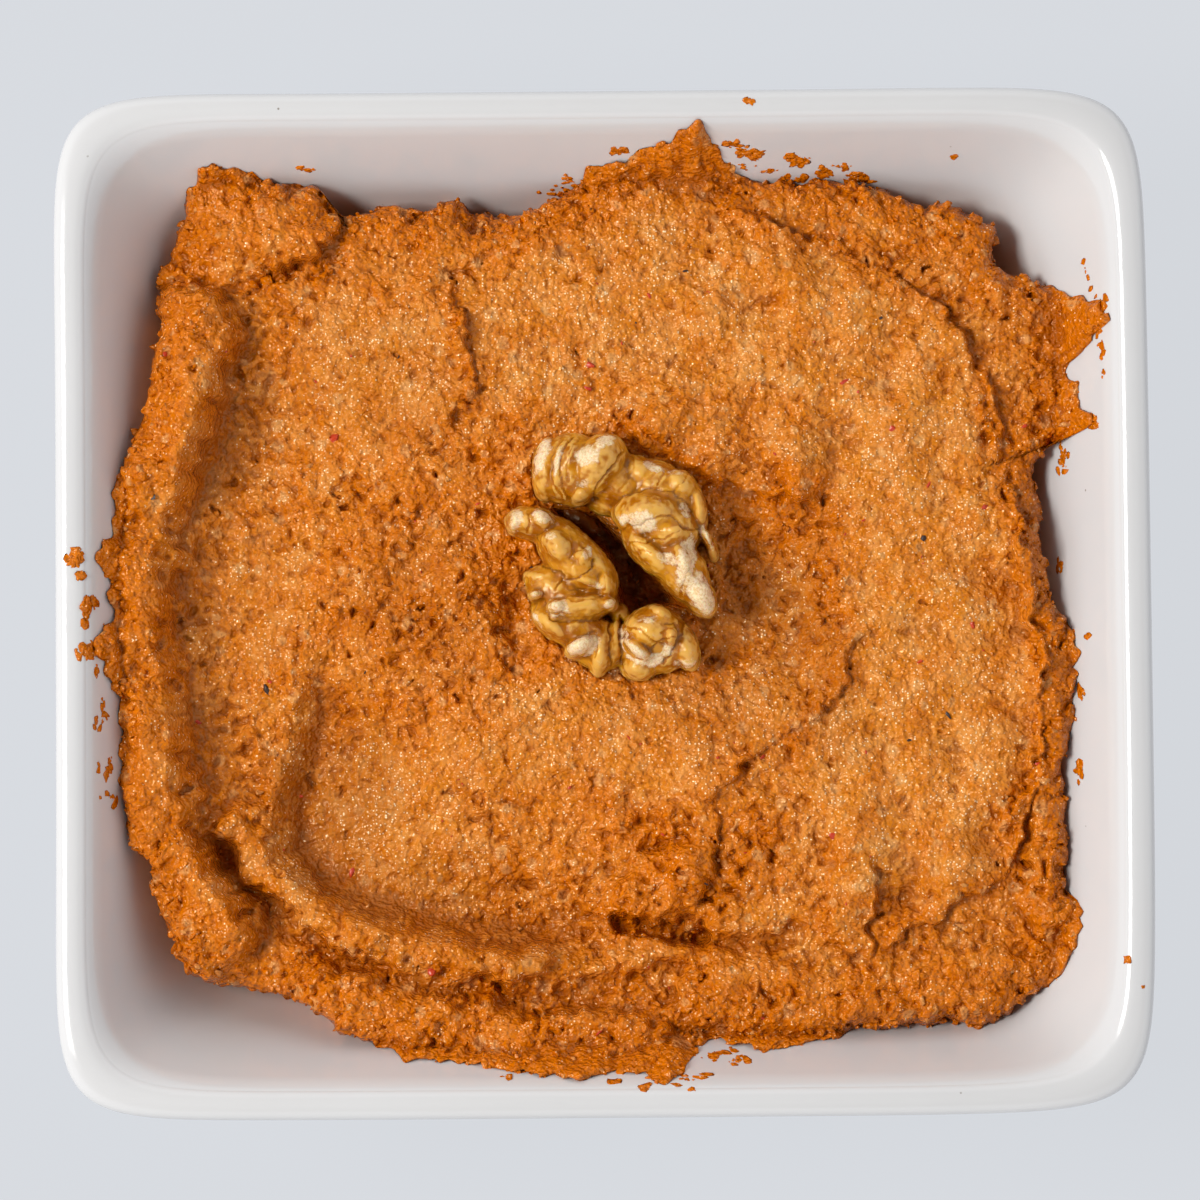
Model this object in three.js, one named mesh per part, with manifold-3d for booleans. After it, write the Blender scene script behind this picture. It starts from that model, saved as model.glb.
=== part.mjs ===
// Bowl of walnut dip: a square white dish with a thick rounded rim, filled with a coarse
// orange dip that was spread and scooped with a spoon, and one half of a walnut kernel
// pressed into the middle.
//
// Millimetres, +Z up. The origin is the middle of the foot's underside, +X runs along the
// dish's longer side and +Y along its shorter side, away from the person who eats from it.
import * as THREE from 'three';
import { mergeVertices } from 'three/addons/utils/BufferGeometryUtils.js';
import { ImprovedNoise } from 'three/addons/math/ImprovedNoise.js';
import Module from 'manifold-3d';

const wasm = await Module();
wasm.setup();

// ---------------------------------------------------------------- driving dimensions

// The dish
const DISH_LENGTH = 130; // over the rim, along X
const DISH_WIDTH = 122; // over the rim, along Y
const DISH_HEIGHT = 45;
const RIM_WIDTH = 3.9; // across the rounded rim
const RIM_ROLL = 1.1; // how far the rim curls down on either side
const RIM_FLATNESS = 0.8; // under 1 squares the rim's round section
const RIM_TURNS = [150, 122, 92, 62, 32, 5]; // degrees round that section, inside to outside
const FLOOR_THICKNESS = 5;
const FLOOR_HALF = 33; // half of the flat inner floor
const INNER_BEND = [[11, 0], [15, 16]]; // what pulls the inner wall, out and up from the floor
const OUTER_BEND = [[9, 7], [-9, -16]]; // the same outside, from the foot and from the rim
const FOOT_HALF = 40; // half of the foot, at its outside
const FOOT_WIDTH = 4; // of the ring that the dish stands on
const FOOT_RECESS = 1.2; // hollow under the floor, inside the foot
const FOOT_EDGE = 0.6; // bevel at the outside of the foot
const FOOT_HEIGHT = 1; // where the outer wall starts
const RIM_TUCK = 0.4; // how far the outer wall starts inside the rim
const RIM_SQUARENESS = 13; // exponent of the rim's outline, 2 would be an ellipse
const FLOOR_SQUARENESS = 5.5;
const CORNER_CROWDING = 0.4; // under 1 moves the facets towards the corners
const RING_SIDES = 76; // facets round the dish
const INNER_STEPS = 9; // facets up the inner wall
const OUTER_STEPS = 6; // facets down the outer wall
const OPEN_ABOVE = 10; // how far cutting bodies reach over the rim

// The dip
const DIP_LEVEL = 34.5; // its middle height, over the foot
const DIP_SHOULDER = 2.4; // how far its torn side rounds down
const SHOULDER_WIDTH = 3;
const SMEAR_THICKNESS = 0.9; // least thickness where it climbs the wall
const TEAR_WIDTH = 0.6; // half the width of a torn step
const SWELL = { size: 11, height: 0.5 }; // slow unevenness of the surface
const CRAG = { size: 4.1, height: 0.5 }; // quick unevenness
const WALL_GAP = 0.3; // between dip and dish
const DIP_CELLS = 46; // facets across the dip, each way
const EDGE_STEPS = 720; // along the torn edge

// The walnut kernel
const KERNEL_DEPTH = 3.1; // how far it is pressed into the dip
const SEAT_GAP = 0.9; // free space round it
const SEAT_MARGIN = 0.5; // between the seat's floor and the kernel
const SEAT_SIDES = 6; // facets round a quarter of the seat's arcs
const BULGE_SIDES = 9; // facets round one bulge
const BULGE_RINGS = 6;
const WRINKLE = { size: 2.3, height: 0.35 }; // unevenness of its skin

const HALF_LENGTH = DISH_LENGTH / 2;
const WIDTH_RATIO = DISH_WIDTH / DISH_LENGTH;
const RIM_INSIDE = HALF_LENGTH - RIM_WIDTH;
const SEAT_FLOOR = DIP_LEVEL - KERNEL_DEPTH - SEAT_MARGIN;

// ---------------------------------------------------------------- the dip's form

// Its torn edge, clockwise from the far left corner. [x, y]
const DIP_EDGE = [
  [-49.5, 50.8], [-46.6, 53], [-41, 52.2], [-34, 51.2], [-32.2, 48.3], [-24.3, 48.8],
  [-16.5, 48.7], [-11, 47.9], [-6.3, 48.9], [-1.5, 52.3], [5.1, 54], [9.3, 55.8], [12, 57],
  [14.2, 55.2], [15.4, 53.2], [21.9, 51.3], [32.2, 51], [38.2, 48.7], [43.2, 48.4],
  [47.4, 45.6], [48.2, 41], [52.6, 38.8], [56, 37.4], [60.2, 33.4], [57.6, 30], [56.4, 28],
  [58.4, 21], [55, 20], [52.1, 15.7], [53.2, 12.4], [52.6, 8.2], [53.8, 0.4], [56.4, -3.8],
  [56.7, -11.7], [55.3, -18.9], [55.6, -24.3], [55, -33.3], [56.6, -37], [55.4, -43.1],
  [50.8, -47.7], [45.4, -50.8], [40.6, -50.3], [30.9, -51.3], [20, -52.9], [10.8, -52.6],
  [7.4, -56.6], [2.7, -56], [-5.1, -56], [-15.9, -54.9], [-24.3, -53.5], [-31.6, -51],
  [-36.4, -47.4], [-45.4, -45], [-49.8, -43], [-52.7, -38], [-54.4, -31], [-56.7, -27.2],
  [-57.8, -18.9], [-58, -10.4], [-60.2, -5], [-58.7, -1.2], [-59.4, 5], [-58.2, 10],
  [-58.3, 15.2], [-55, 22], [-54.2, 27.4], [-52.8, 35], [-53.3, 40], [-51, 44.4],
];

// Raised bands and grooves along a path: height over the dip (a groove's is under 0), and
// half the width of its crest and of its foot.
const BANDS = [
  {
    place: 'bank along the left wall',
    height: 3.3, crest: 2.2, foot: 5.2,
    path: [
      [-49, 34], [-51, 25], [-54.5, 15], [-57, 5], [-57, -5], [-55.2, -14], [-54.5, -24],
      [-51.5, -33], [-47, -39],
    ],
  },
  {
    place: 'lip round the big scoop',
    height: 1.7, crest: 0.8, foot: 3.2,
    path: [[-44, -26], [-41.5, -31], [-33, -38], [-21, -42], [-9, -43.4]],
  },
  {
    place: 'groove behind that lip',
    height: -2.2, crest: 0.5, foot: 2.4,
    path: [[-47.2, -28.5], [-43.6, -33.4], [-36.5, -39.4], [-29.5, -43.6]],
  },
  {
    place: 'trough along the near side',
    height: -1.7, crest: 1, foot: 3.2,
    path: [[-14, -46.2], [-6, -47.6], [1, -46.6], [8, -45]],
  },
  {
    place: 'swell along the near side',
    height: 1.4, crest: 2, foot: 5,
    path: [[12, -46.8], [24, -47.4], [36, -47], [46, -45]],
  },
  {
    place: 'deep slot under the torn lip',
    height: -3.4, crest: 0.5, foot: 1.9,
    path: [[1.4, -38.2], [7, -39], [14, -40], [21, -40.3]],
  },
];

// Torn edges: the dip stands higher on the left of the path, by drop at the path itself and
// less with the distance, which fade sets.
const TORN_EDGES = [
  {
    place: 'broad smooth slab on the right',
    drop: 1.6, fade: 24,
    path: [
      [36, -40], [48, -33.4], [52, -22], [52.2, 0.4], [48.6, 16], [47.6, 25.6], [43, 33],
      [38, 38], [31, 42.4], [18, 47],
    ],
  },
  {
    place: 'smoothed flake, far left',
    drop: 1.3, fade: 9,
    path: [[-16.5, 23.8], [-15, 26.2], [-15, 30.4], [-16.4, 35.2], [-17.7, 38.2]],
  },
  {
    place: 'small flake left of the kernel',
    drop: 1, fade: 4,
    path: [[-22.9, 10.9], [-21.3, 14.2], [-21, 17]],
  },
  {
    place: 'shelf that the kernel tore, behind it',
    drop: 1.8, fade: 8,
    path: [[3, 20.6], [10.5, 16.4], [16.5, 14], [23.7, 12.4]],
  },
  {
    place: 'long tear on the right',
    drop: 1, fade: 6,
    path: [
      [11.7, -35], [13.6, -29.7], [13.5, -23.7], [16, -19.5], [22.5, -15.3], [28.3, -10.5],
      [31, -4.5],
    ],
  },
  {
    place: 'end of the block beside the slot',
    drop: 1.9, fade: 5,
    path: [[31.9, -40], [32.2, -35]],
  },
  {
    place: 'lip over the slot',
    drop: 1.6, fade: 4,
    path: [[1, -37.4], [7, -37.2], [11.5, -36]],
  },
  {
    place: 'crack under the far left lump',
    drop: 1.6, fade: 7,
    path: [[-42.4, 39.8], [-38.2, 41], [-34, 42.4], [-31, 46.6]],
  },
  {
    place: 'side of the crater left of the kernel',
    drop: 1.2, fade: 5,
    path: [[-11.8, -6.9], [-12.1, 0.4]],
  },
];

// Scoops: the dip falls away on the left of the path, by depth over the width of the bank,
// and comes back up with the distance, which reach sets.
const SCOOPS = [
  {
    place: 'big spoon mark, near left',
    depth: 3, bank: 7, reach: 21,
    path: [
      [-38, -13], [-40.6, -23.6], [-40, -30], [-36.4, -35], [-29, -38.6], [-20.6, -41],
      [-8, -43],
    ],
  },
  {
    place: 'sweep beside the left bank',
    depth: 1.2, bank: 2, reach: 13,
    path: [[-47, 25], [-50.4, 14], [-52.6, 0], [-51, -20], [-48.6, -30]],
  },
];

// Mounds, and hollows where the height is under 0: middle, radius along X and Y, height.
const MOUNDS = [
  { place: 'far left lump', at: [-41.8, 46.6], radius: [9, 6.5], height: 1.8 },
  { place: 'flap left of the kernel', at: [-28.4, 4], radius: [4.6, 4.4], height: 1 },
  { place: 'block beside the slot', at: [26.6, -38], radius: [7, 4], height: 1.2 },
  { place: 'hollow right of the kernel', at: [18, 4.5], radius: [10, 12], height: -1.8 },
  { place: 'hollow behind the block', at: [35, -36.4], radius: [4, 3.6], height: -1.9 },
  { place: 'hollow at the groove', at: [-45.4, -29.8], radius: [3, 3.4], height: -1.6 },
  { place: 'crater left of the kernel', at: [-10.4, -1], radius: [4, 8], height: -1.7 },
  { place: 'notch in the far edge', at: [-14, 47], radius: [3.4, 3], height: -2.6 },
  { place: 'crown of the slab', at: [40, 0], radius: [26, 34], height: 0.9 },
];

// ---------------------------------------------------------------- the kernel's form

// Bulges of the kernel's two lobes, and of what joins them low in the gap between them.
// [x, y, half length, half width, turn in degrees, height over the dip]
const FAR_LOBE = [
  [-6.2, 16.8, 3.7, 2.7, 80, 6.2],
  [-0.6, 16.3, 4.2, 4.4, 70, 8.8],
  [3.4, 14.4, 3.4, 2.8, -30, 5.2],
  [8.2, 13.6, 4.8, 3.4, -25, 6],
  [5.7, 10.9, 4.4, 3.4, 5, 9.4],
  [8.6, 4.7, 6, 2.7, -50, 7.8],
  [11.3, 0.9, 2.7, 2.6, -50, 6],
  [11.7, 8, 3, 2.1, -75, 5],
];
const NEAR_LOBE = [
  [-8.7, 9.9, 2.9, 1.9, -30, 6.6],
  [-4.9, 7, 3.7, 2.6, -40, 8.2],
  [-0.7, 3.4, 3.2, 3, -40, 7.6],
  [-6.6, 1.6, 3, 1.8, -5, 5.2],
  [-3.8, -0.3, 4.4, 2.5, 0, 7.4],
  [-3.2, -4.4, 3.9, 3, 15, 5.6],
  [1, -5.2, 2, 3.4, 0, 3.4],
  [5.6, -5, 3.8, 3.7, 20, 6.4],
  [8.3, -2.4, 3.6, 2.2, -30, 6],
  [9.9, -6, 2.2, 2.9, 15, 3.6],
];
const BRIDGE = [
  [2.4, 4, 7, 3, -50, -0.4],
  [-3.4, 11, 3, 2.4, -50, -0.2],
];
const BULGES = [...FAR_LOBE, ...NEAR_LOBE, ...BRIDGE];

// The gap between the lobes, where the dip was pushed down. [x, y]
const LOBE_GAP = [
  [-5, 12], [0, 13], [4, 8], [10, 1], [7.6, -1], [2.6, -2], [0, 0.5], [-1, 6],
];

// ---------------------------------------------------------------- helpers

const { clamp, degToRad, lerp, smoothstep } = THREE.MathUtils;
const perlin = new ImprovedNoise();
const TINY = 1e-6;

/** Smooth unevenness from about -height to height, in lumps of about the given size. */
function uneven({ size, height }, x, y, z) {
  return height * perlin.noise(x / size, y / size, z / size);
}

/** The geometry with its shared corners merged and without triangles that shrank to a line. */
function welded(geometry) {
  const bare = geometry.clone();
  bare.deleteAttribute('normal');
  bare.deleteAttribute('uv');
  const merged = mergeVertices(bare);
  const corners = merged.index.array;
  const kept = [];
  for (let i = 0; i < corners.length; i += 3) {
    const [a, b, c] = corners.subarray(i, i + 3);
    if (a !== b && b !== c && c !== a) kept.push(a, b, c);
  }
  merged.setIndex(kept);
  return merged;
}

function toSolid(geometry) {
  const body = welded(geometry);
  return new wasm.Manifold(new wasm.Mesh({
    numProp: 3,
    vertProperties: new Float32Array(body.attributes.position.array),
    triVerts: new Uint32Array(body.index.array),
  }));
}

function toGeometry(solid) {
  const mesh = solid.getMesh();
  const geometry = new THREE.BufferGeometry();
  geometry.setAttribute('position', new THREE.BufferAttribute(mesh.vertProperties, 3));
  geometry.setIndex(new THREE.BufferAttribute(mesh.triVerts, 1));
  geometry.computeVertexNormals();
  return geometry;
}

function joined(solids) {
  return solids.reduce((all, next) => all.add(next));
}

/** The main body alone: a loose scrap is dropped and a hollow that the cuts sealed is filled. */
function mainBody(solid) {
  const bodies = solid.decompose();
  return bodies.reduce((main, next) => (next.volume() > main.volume() ? next : main));
}

/** Moves every corner of a geometry: place(point) changes the point that it is given. */
function reshape(geometry, place) {
  const position = geometry.attributes.position;
  const point = new THREE.Vector3();
  for (let i = 0; i < position.count; i++) {
    point.fromBufferAttribute(position, i);
    place(point);
    position.setXYZ(i, point.x, point.y, point.z);
  }
  return geometry;
}

/** A flat outline raised from the seat's floor to above the rim. */
function shaftOver(outline) {
  const depth = DISH_HEIGHT + OPEN_ABOVE - SEAT_FLOOR;
  const options = { depth, bevelEnabled: false, curveSegments: SEAT_SIDES };
  return toSolid(new THREE.ExtrudeGeometry(outline, options).translate(0, 0, SEAT_FLOOR));
}

/** Distance from a point to a path, positive on the left of the way that it runs. */
function signedDistance(x, y, path) {
  let nearest = Infinity;
  let side = 1;
  for (let i = 0; i + 1 < path.length; i++) {
    const [ax, ay] = path[i];
    const [bx, by] = path[i + 1];
    const [ux, uy] = [bx - ax, by - ay];
    const t = clamp(((x - ax) * ux + (y - ay) * uy) / (ux * ux + uy * uy), 0, 1);
    const away = Math.hypot(x - ax - t * ux, y - ay - t * uy);
    if (away < nearest) {
      nearest = away;
      side = ux * (y - ay) - uy * (x - ax) >= 0 ? 1 : -1;
    }
  }
  return side * nearest;
}

// ---------------------------------------------------------------- the dish

/** Exponent of the outline of the ring whose half length is given: squarer towards the rim. */
function squareness(half) {
  const rise = clamp((half - FLOOR_HALF) / (HALF_LENGTH - FLOOR_HALF), 0, 1);
  return lerp(FLOOR_SQUARENESS, RIM_SQUARENESS, rise);
}

/** Size of the rounded square, of the given power, on whose outline (x, y) lies. */
function squareReach(x, y, power) {
  return (Math.abs(x) ** power + Math.abs(y) ** power) ** (1 / power);
}

/** Turns a round lathed skin, with +Y up, into the square dish's, with +Z up. */
function squareOff(geometry) {
  const crowd = (share) => Math.sign(share) * Math.abs(share) ** CORNER_CROWDING;
  geometry.rotateX(Math.PI / 2);
  return reshape(geometry, (point) => {
    const half = Math.hypot(point.x, point.y);
    if (half < TINY) return;
    const across = Math.abs(point.x) < TINY ? 0 : crowd(point.x / half);
    const along = Math.abs(point.y) < TINY ? 0 : crowd(point.y / half);
    const scale = half / squareReach(across, along, squareness(half));
    point.x = scale * across;
    point.y = scale * along * WIDTH_RATIO;
  });
}

/** The inner wall from the flat floor up to the rim: half length against height. */
function innerWall() {
  const wall = new THREE.CubicBezierCurve(
    new THREE.Vector2(FLOOR_HALF, FLOOR_THICKNESS),
    ...INNER_BEND.map(([out, up]) => new THREE.Vector2(FLOOR_HALF + out, FLOOR_THICKNESS + up)),
    new THREE.Vector2(RIM_INSIDE, DISH_HEIGHT - RIM_ROLL),
  );
  return wall.getPoints(INNER_STEPS);
}

/** The rim's rounded top, from its inside edge to its outside edge. */
function rimTop() {
  const middle = HALF_LENGTH - RIM_WIDTH / 2;
  return RIM_TURNS.map(degToRad).map((turn) => {
    const across = Math.sign(Math.cos(turn)) * Math.abs(Math.cos(turn)) ** RIM_FLATNESS;
    const drop = RIM_ROLL * (1 - Math.sin(turn));
    return new THREE.Vector2(middle + (RIM_WIDTH / 2) * across, DISH_HEIGHT - drop);
  });
}

/** The outer wall from under the rim down to the foot. */
function outerWall() {
  const [overFoot, underRim] = OUTER_BEND;
  const wall = new THREE.CubicBezierCurve(
    new THREE.Vector2(HALF_LENGTH - RIM_TUCK, DISH_HEIGHT - RIM_ROLL - 1),
    new THREE.Vector2(HALF_LENGTH + underRim[0], DISH_HEIGHT + underRim[1]),
    new THREE.Vector2(FOOT_HALF + overFoot[0], FOOT_HEIGHT + overFoot[1]),
    new THREE.Vector2(FOOT_HALF, FOOT_HEIGHT),
  );
  return wall.getPoints(OUTER_STEPS);
}

function dish() {
  const ringInside = FOOT_HALF - FOOT_WIDTH;
  const foot = [
    new THREE.Vector2(FOOT_HALF - FOOT_EDGE, 0),
    new THREE.Vector2(ringInside, 0),
    new THREE.Vector2(ringInside - FOOT_RECESS, FOOT_RECESS),
    new THREE.Vector2(0, FOOT_RECESS),
  ];
  const floor = new THREE.Vector2(0, FLOOR_THICKNESS);
  const profile = [floor, ...innerWall(), ...rimTop(), ...outerWall(), ...foot].reverse();
  return toSolid(squareOff(new THREE.LatheGeometry(profile, RING_SIDES)));
}

/** The space that the dip may fill: inside the wall, by the gap, and open upwards. */
function cavity() {
  const wall = innerWall().map((p) => new THREE.Vector2(p.x - WALL_GAP, p.y + WALL_GAP));
  const above = DISH_HEIGHT + OPEN_ABOVE;
  const top = [new THREE.Vector2(wall.at(-1).x, above), new THREE.Vector2(0, above)];
  const profile = [new THREE.Vector2(0, wall[0].y), ...wall, ...top];
  return toSolid(squareOff(new THREE.LatheGeometry(profile, RING_SIDES)));
}

/** Height of the dish's inner wall over a point of the plan. */
function wallHeight(x, y) {
  const across = y / WIDTH_RATIO;
  let half = Math.max(Math.abs(x), Math.abs(across));
  for (let round = 0; round < 4; round++) half = squareReach(x, across, squareness(half));
  const wall = innerWall();
  const above = wall.findIndex((p) => p.x >= half);
  if (above === 0) return wall[0].y;
  if (above < 0) return wall.at(-1).y;
  const [low, high] = [wall[above - 1], wall[above]];
  return lerp(low.y, high.y, (half - low.x) / (high.x - low.x));
}

// ---------------------------------------------------------------- the dip

const edgeCurve = new THREE.CatmullRomCurve3(
  DIP_EDGE.map(([x, y]) => new THREE.Vector3(x, y, 0)), true, 'centripetal',
);
const edgePoints = edgeCurve.getSpacedPoints(EDGE_STEPS);

/** How far from the middle a ray in the direction (x, y) leaves the dip. */
function edgeReach(x, y) {
  const size = Math.hypot(x, y);
  if (size < TINY) return HALF_LENGTH;
  const [ux, uy] = [x / size, y / size];
  let reach = 0;
  for (let i = 0; i < EDGE_STEPS; i++) {
    const [a, b] = [edgePoints[i], edgePoints[i + 1]];
    const sideA = ux * a.y - uy * a.x;
    const sideB = ux * b.y - uy * b.x;
    const ahead = ux * a.x + uy * a.y > 0;
    if (ahead && sideA * sideB <= 0 && sideA !== sideB) {
      const t = sideA / (sideA - sideB);
      reach = Math.max(reach, Math.hypot(lerp(a.x, b.x, t), lerp(a.y, b.y, t)));
    }
  }
  return reach;
}

function bandHeight(x, y, { path, height, crest, foot }) {
  return height * (1 - smoothstep(Math.abs(signedDistance(x, y, path)), crest, foot));
}

function tornHeight(x, y, { path, drop, fade }) {
  const away = signedDistance(x, y, path);
  return drop * smoothstep(away, -TEAR_WIDTH, TEAR_WIDTH) * Math.exp(-((away / fade) ** 2));
}

function scoopHeight(x, y, { path, depth, bank, reach }) {
  const away = signedDistance(x, y, path);
  return -depth * smoothstep(away, 0, bank) * Math.exp(-((away / reach) ** 2));
}

function moundHeight(x, y, { at, radius, height }) {
  const away = ((x - at[0]) / radius[0]) ** 2 + ((y - at[1]) / radius[1]) ** 2;
  return height * Math.exp(-2 * away);
}

/** Height of the dip's surface, inward being how far the point lies inside the torn edge. */
function dipSurface(x, y, inward) {
  let z = DIP_LEVEL;
  for (const band of BANDS) z += bandHeight(x, y, band);
  for (const edge of TORN_EDGES) z += tornHeight(x, y, edge);
  for (const scoop of SCOOPS) z += scoopHeight(x, y, scoop);
  for (const mound of MOUNDS) z += moundHeight(x, y, mound);
  z += uneven(SWELL, x, y, DIP_LEVEL) + uneven(CRAG, x, y, DIP_LEVEL);
  const drop = clamp(1 - inward / SHOULDER_WIDTH, 0, 1);
  z -= DIP_SHOULDER * (1 - Math.sqrt(1 - drop * drop));
  return Math.max(z, wallHeight(x, y) + SMEAR_THICKNESS);
}

/** The hollow that the kernel sits in: round every bulge, and between the two lobes. */
function seat() {
  const rounds = BULGES.map(([x, y, along, across, turn]) => {
    const round = new THREE.Shape();
    const [rx, ry] = [along + SEAT_GAP, across + SEAT_GAP];
    round.absellipse(x, y, rx, ry, 0, 2 * Math.PI, false, degToRad(turn));
    return shaftOver(round);
  });
  const gap = new THREE.Shape(LOBE_GAP.map(([x, y]) => new THREE.Vector2(x, y)));
  return joined([...rounds, shaftOver(gap)]);
}

/** A block of square cells whose sides follow the torn edge and whose top is the surface. */
function dipBlock() {
  const block = new THREE.BoxGeometry(2, 2, 2, DIP_CELLS, DIP_CELLS, 1);
  return reshape(block, (point) => {
    const out = Math.max(Math.abs(point.x), Math.abs(point.y));
    const reach = edgeReach(point.x, point.y);
    const stretch = out > TINY ? (out * reach) / Math.hypot(point.x, point.y) : 0;
    point.x *= stretch;
    point.y *= stretch;
    point.z = point.z > 0 ? dipSurface(point.x, point.y, (1 - out) * reach) : 0;
  });
}

function dip() {
  return mainBody(toSolid(dipBlock()).intersect(cavity()).subtract(seat()));
}

// ---------------------------------------------------------------- the walnut kernel

/** One rounded, slightly wrinkled bulge, from the kernel's underside up to its height. */
function bulge([x, y, along, across, turn, height]) {
  const radius = (height + KERNEL_DEPTH) / 2;
  const ball = new THREE.SphereGeometry(1, BULGE_SIDES, BULGE_RINGS);
  ball.rotateX(Math.PI / 2);
  ball.scale(along, across, radius);
  ball.rotateZ(degToRad(turn));
  ball.translate(x, y, DIP_LEVEL - KERNEL_DEPTH + radius);
  return toSolid(reshape(ball, (point) => {
    const wave = uneven(WRINKLE, point.x, point.y, point.z);
    point.x += wave;
    point.y += wave;
  }));
}

function kernel() {
  return joined(BULGES.map(bulge));
}

// ---------------------------------------------------------------- the object

const glazedWhite = new THREE.MeshStandardMaterial({ color: '#e4e1df', roughness: 0.12, metalness: 0 });
const dipPaste = new THREE.MeshStandardMaterial({ color: '#cb7422', roughness: 0.5, metalness: 0 });
const kernelSkin = new THREE.MeshStandardMaterial({ color: '#c9913f', roughness: 0.42, metalness: 0 });

function piece(name, solid, material) {
  const mesh = new THREE.Mesh(toGeometry(solid), material);
  mesh.name = name;
  return mesh;
}

const bowlOfDip = new THREE.Group();
bowlOfDip.add(
  piece('bowl', dish(), glazedWhite),
  piece('dip', dip(), dipPaste),
  piece('walnut_half', kernel(), kernelSkin),
);

export default bowlOfDip;
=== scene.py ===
"""Bowl of walnut dip: a square white glazed dish, a coarse orange dip that was spread and
scooped with a spoon, and one half of a walnut kernel pressed into its middle.

Lengths are millimetres until a mesh is finished, and the finished meshes are metres. The
origin is the middle of the foot's underside, +Z up, +X along the dish's longer side and +Y
along its shorter side. Left, right, near and far are those of the photo's frame, with +Y far.
"""
import math

import bmesh
import bpy
import numpy as np
from mathutils import Matrix, Vector, noise as lumps


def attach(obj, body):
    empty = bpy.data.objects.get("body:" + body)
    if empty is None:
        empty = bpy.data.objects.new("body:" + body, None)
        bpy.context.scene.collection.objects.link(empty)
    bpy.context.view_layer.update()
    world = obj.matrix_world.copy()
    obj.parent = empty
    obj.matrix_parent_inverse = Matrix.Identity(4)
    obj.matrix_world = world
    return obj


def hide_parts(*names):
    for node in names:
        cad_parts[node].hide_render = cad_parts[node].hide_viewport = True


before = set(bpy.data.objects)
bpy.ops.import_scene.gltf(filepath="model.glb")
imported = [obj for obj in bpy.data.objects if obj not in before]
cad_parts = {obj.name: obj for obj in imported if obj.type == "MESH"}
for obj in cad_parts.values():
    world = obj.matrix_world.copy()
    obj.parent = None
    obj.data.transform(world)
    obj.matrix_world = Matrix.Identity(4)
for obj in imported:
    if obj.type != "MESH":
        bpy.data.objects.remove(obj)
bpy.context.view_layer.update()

MM = 0.001

# ---------------------------------------------------------------- driving dimensions

# The dish
DISH_LENGTH = 130
DISH_WIDTH = 122
DISH_HEIGHT = 45
RIM_WIDTH = 3.9
RIM_ROLL = 1.45
RIM_FLATNESS = 0.82
FLOOR_THICKNESS = 5
FLOOR_HALF = 33
INNER_BEND = ((11, 0), (15, 16))
OUTER_BEND = ((9, 7), (-9, -16))
FOOT_HALF = 40
FOOT_WIDTH = 4
FOOT_RECESS = 1.2
FOOT_EDGE = 0.6
FOOT_HEIGHT = 1
RIM_TUCK = 0.4
RIM_SQUARENESS = 13
FLOOR_SQUARENESS = 5.5
CORNER_CROWDING = 0.4
WALL_STEPS = 26
RIM_STEPS = 22
DISH_SIDES = 256

# The dip
DIP_LEVEL = 34.5
DIP_SHOULDER = 2.4
SHOULDER_WIDTH = 3
SMEAR_THICKNESS = 1.3
TEAR_WIDTH = 0.3
TEAR_REACH = 1.8  # from a tear's path to where the paste is smooth again
TEAR_RUN_OUT = 2.5  # how far a tear runs on beyond its path's ends, and a scoop
SCOOP_RUN_OUT = 8
PRESS_DEPTH = 2.2  # of the bed that the kernel was pressed into
GAP_DEPTH = 5  # of the dark gap between the kernel's lobes
GRAIN_SIZE = 1.25
PIT_SIZE = 3.1
NUT_SIZE = 3.1
NUT_CHANCE = 0.42
USUAL_CRUMBLINESS = 0.55
EDGE_CRUMBLINESS = 0.8
BITS_SPAN = 46  # half side of the square over which small loose bits lie
PEPPER_COUNT = 40  # of small bits, besides those that the photo shows
SPECK_COUNT = 4
PASTE_GRAINS = 5200
PASTE_GRAIN_SIZE = 0.5
PASTE_CLUMPS = 1100
PASTE_CLUMP_SIZE = 0.95
CHIPS = 6  # flat sides that each loose lump is chipped to
CRUMB_WIDTH = (0.25, 0.85)
CRUMB_LENGTH = (0.8, 1.7)  # in widths
CRUMB_THICKNESS = (0.05, 0.13)
SLOPE_STEP = 0.5  # over which the wall's slope is taken
QUARTER_CELLS = 288  # from the dip's middle to its torn edge
OVERLAP_CELLS = 6  # by which each quarter runs on under its neighbours
OVERLAP_SINK = 0.5
SIDE_RINGS = 5
SIDE_BULGE = 0.7  # how far the torn side is hollowed halfway down
SIDE_WAVES = 0.35
SIDE_PAINTED_SHADE = 0.1  # painted shade on the torn side, as a hollow's share
INTO_WALL = 0.4  # how far the hidden side of the dip reaches into the dish
EDGE_BINS = 1440  # directions from the middle in which the torn edge is sampled
EDGE_BLUR = 45  # how many of them on each side the smoothed outline is averaged over

# The kernel
KERNEL_DEPTH = 3.1
KERNEL_VOXEL = 0.2
SEAM_WIDTH = 0.22
SEAM_DEPTH = 0.2
WRINKLE_SIZE = 1.9
WRINKLE_DEPTH = 0.16
FOLD_SIZE = 1.15
FOLD_DEPTH = 0.1

HALF_LENGTH = DISH_LENGTH / 2
WIDTH_RATIO = DISH_WIDTH / DISH_LENGTH
RIM_INSIDE = HALF_LENGTH - RIM_WIDTH

# ---------------------------------------------------------------- the camera's view

# The photo's frame: where its middle and a millimetre lie at the dip's level and at the
# kernel's, so that a place read from it becomes a place on the object.
FRAME_SIZE = 1200
RIM_PIXELS = 8.46
DIP_PIXELS = 8.32
KERNEL_PIXELS = 8.4
DIP_MIDDLE = (602.5, 603)


def on_dip(column, row, pixels=DIP_PIXELS):
    """Place of a pixel of the photo's frame on the object's plan."""
    return (column - DIP_MIDDLE[0]) / pixels, (DIP_MIDDLE[1] - row) / pixels


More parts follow.
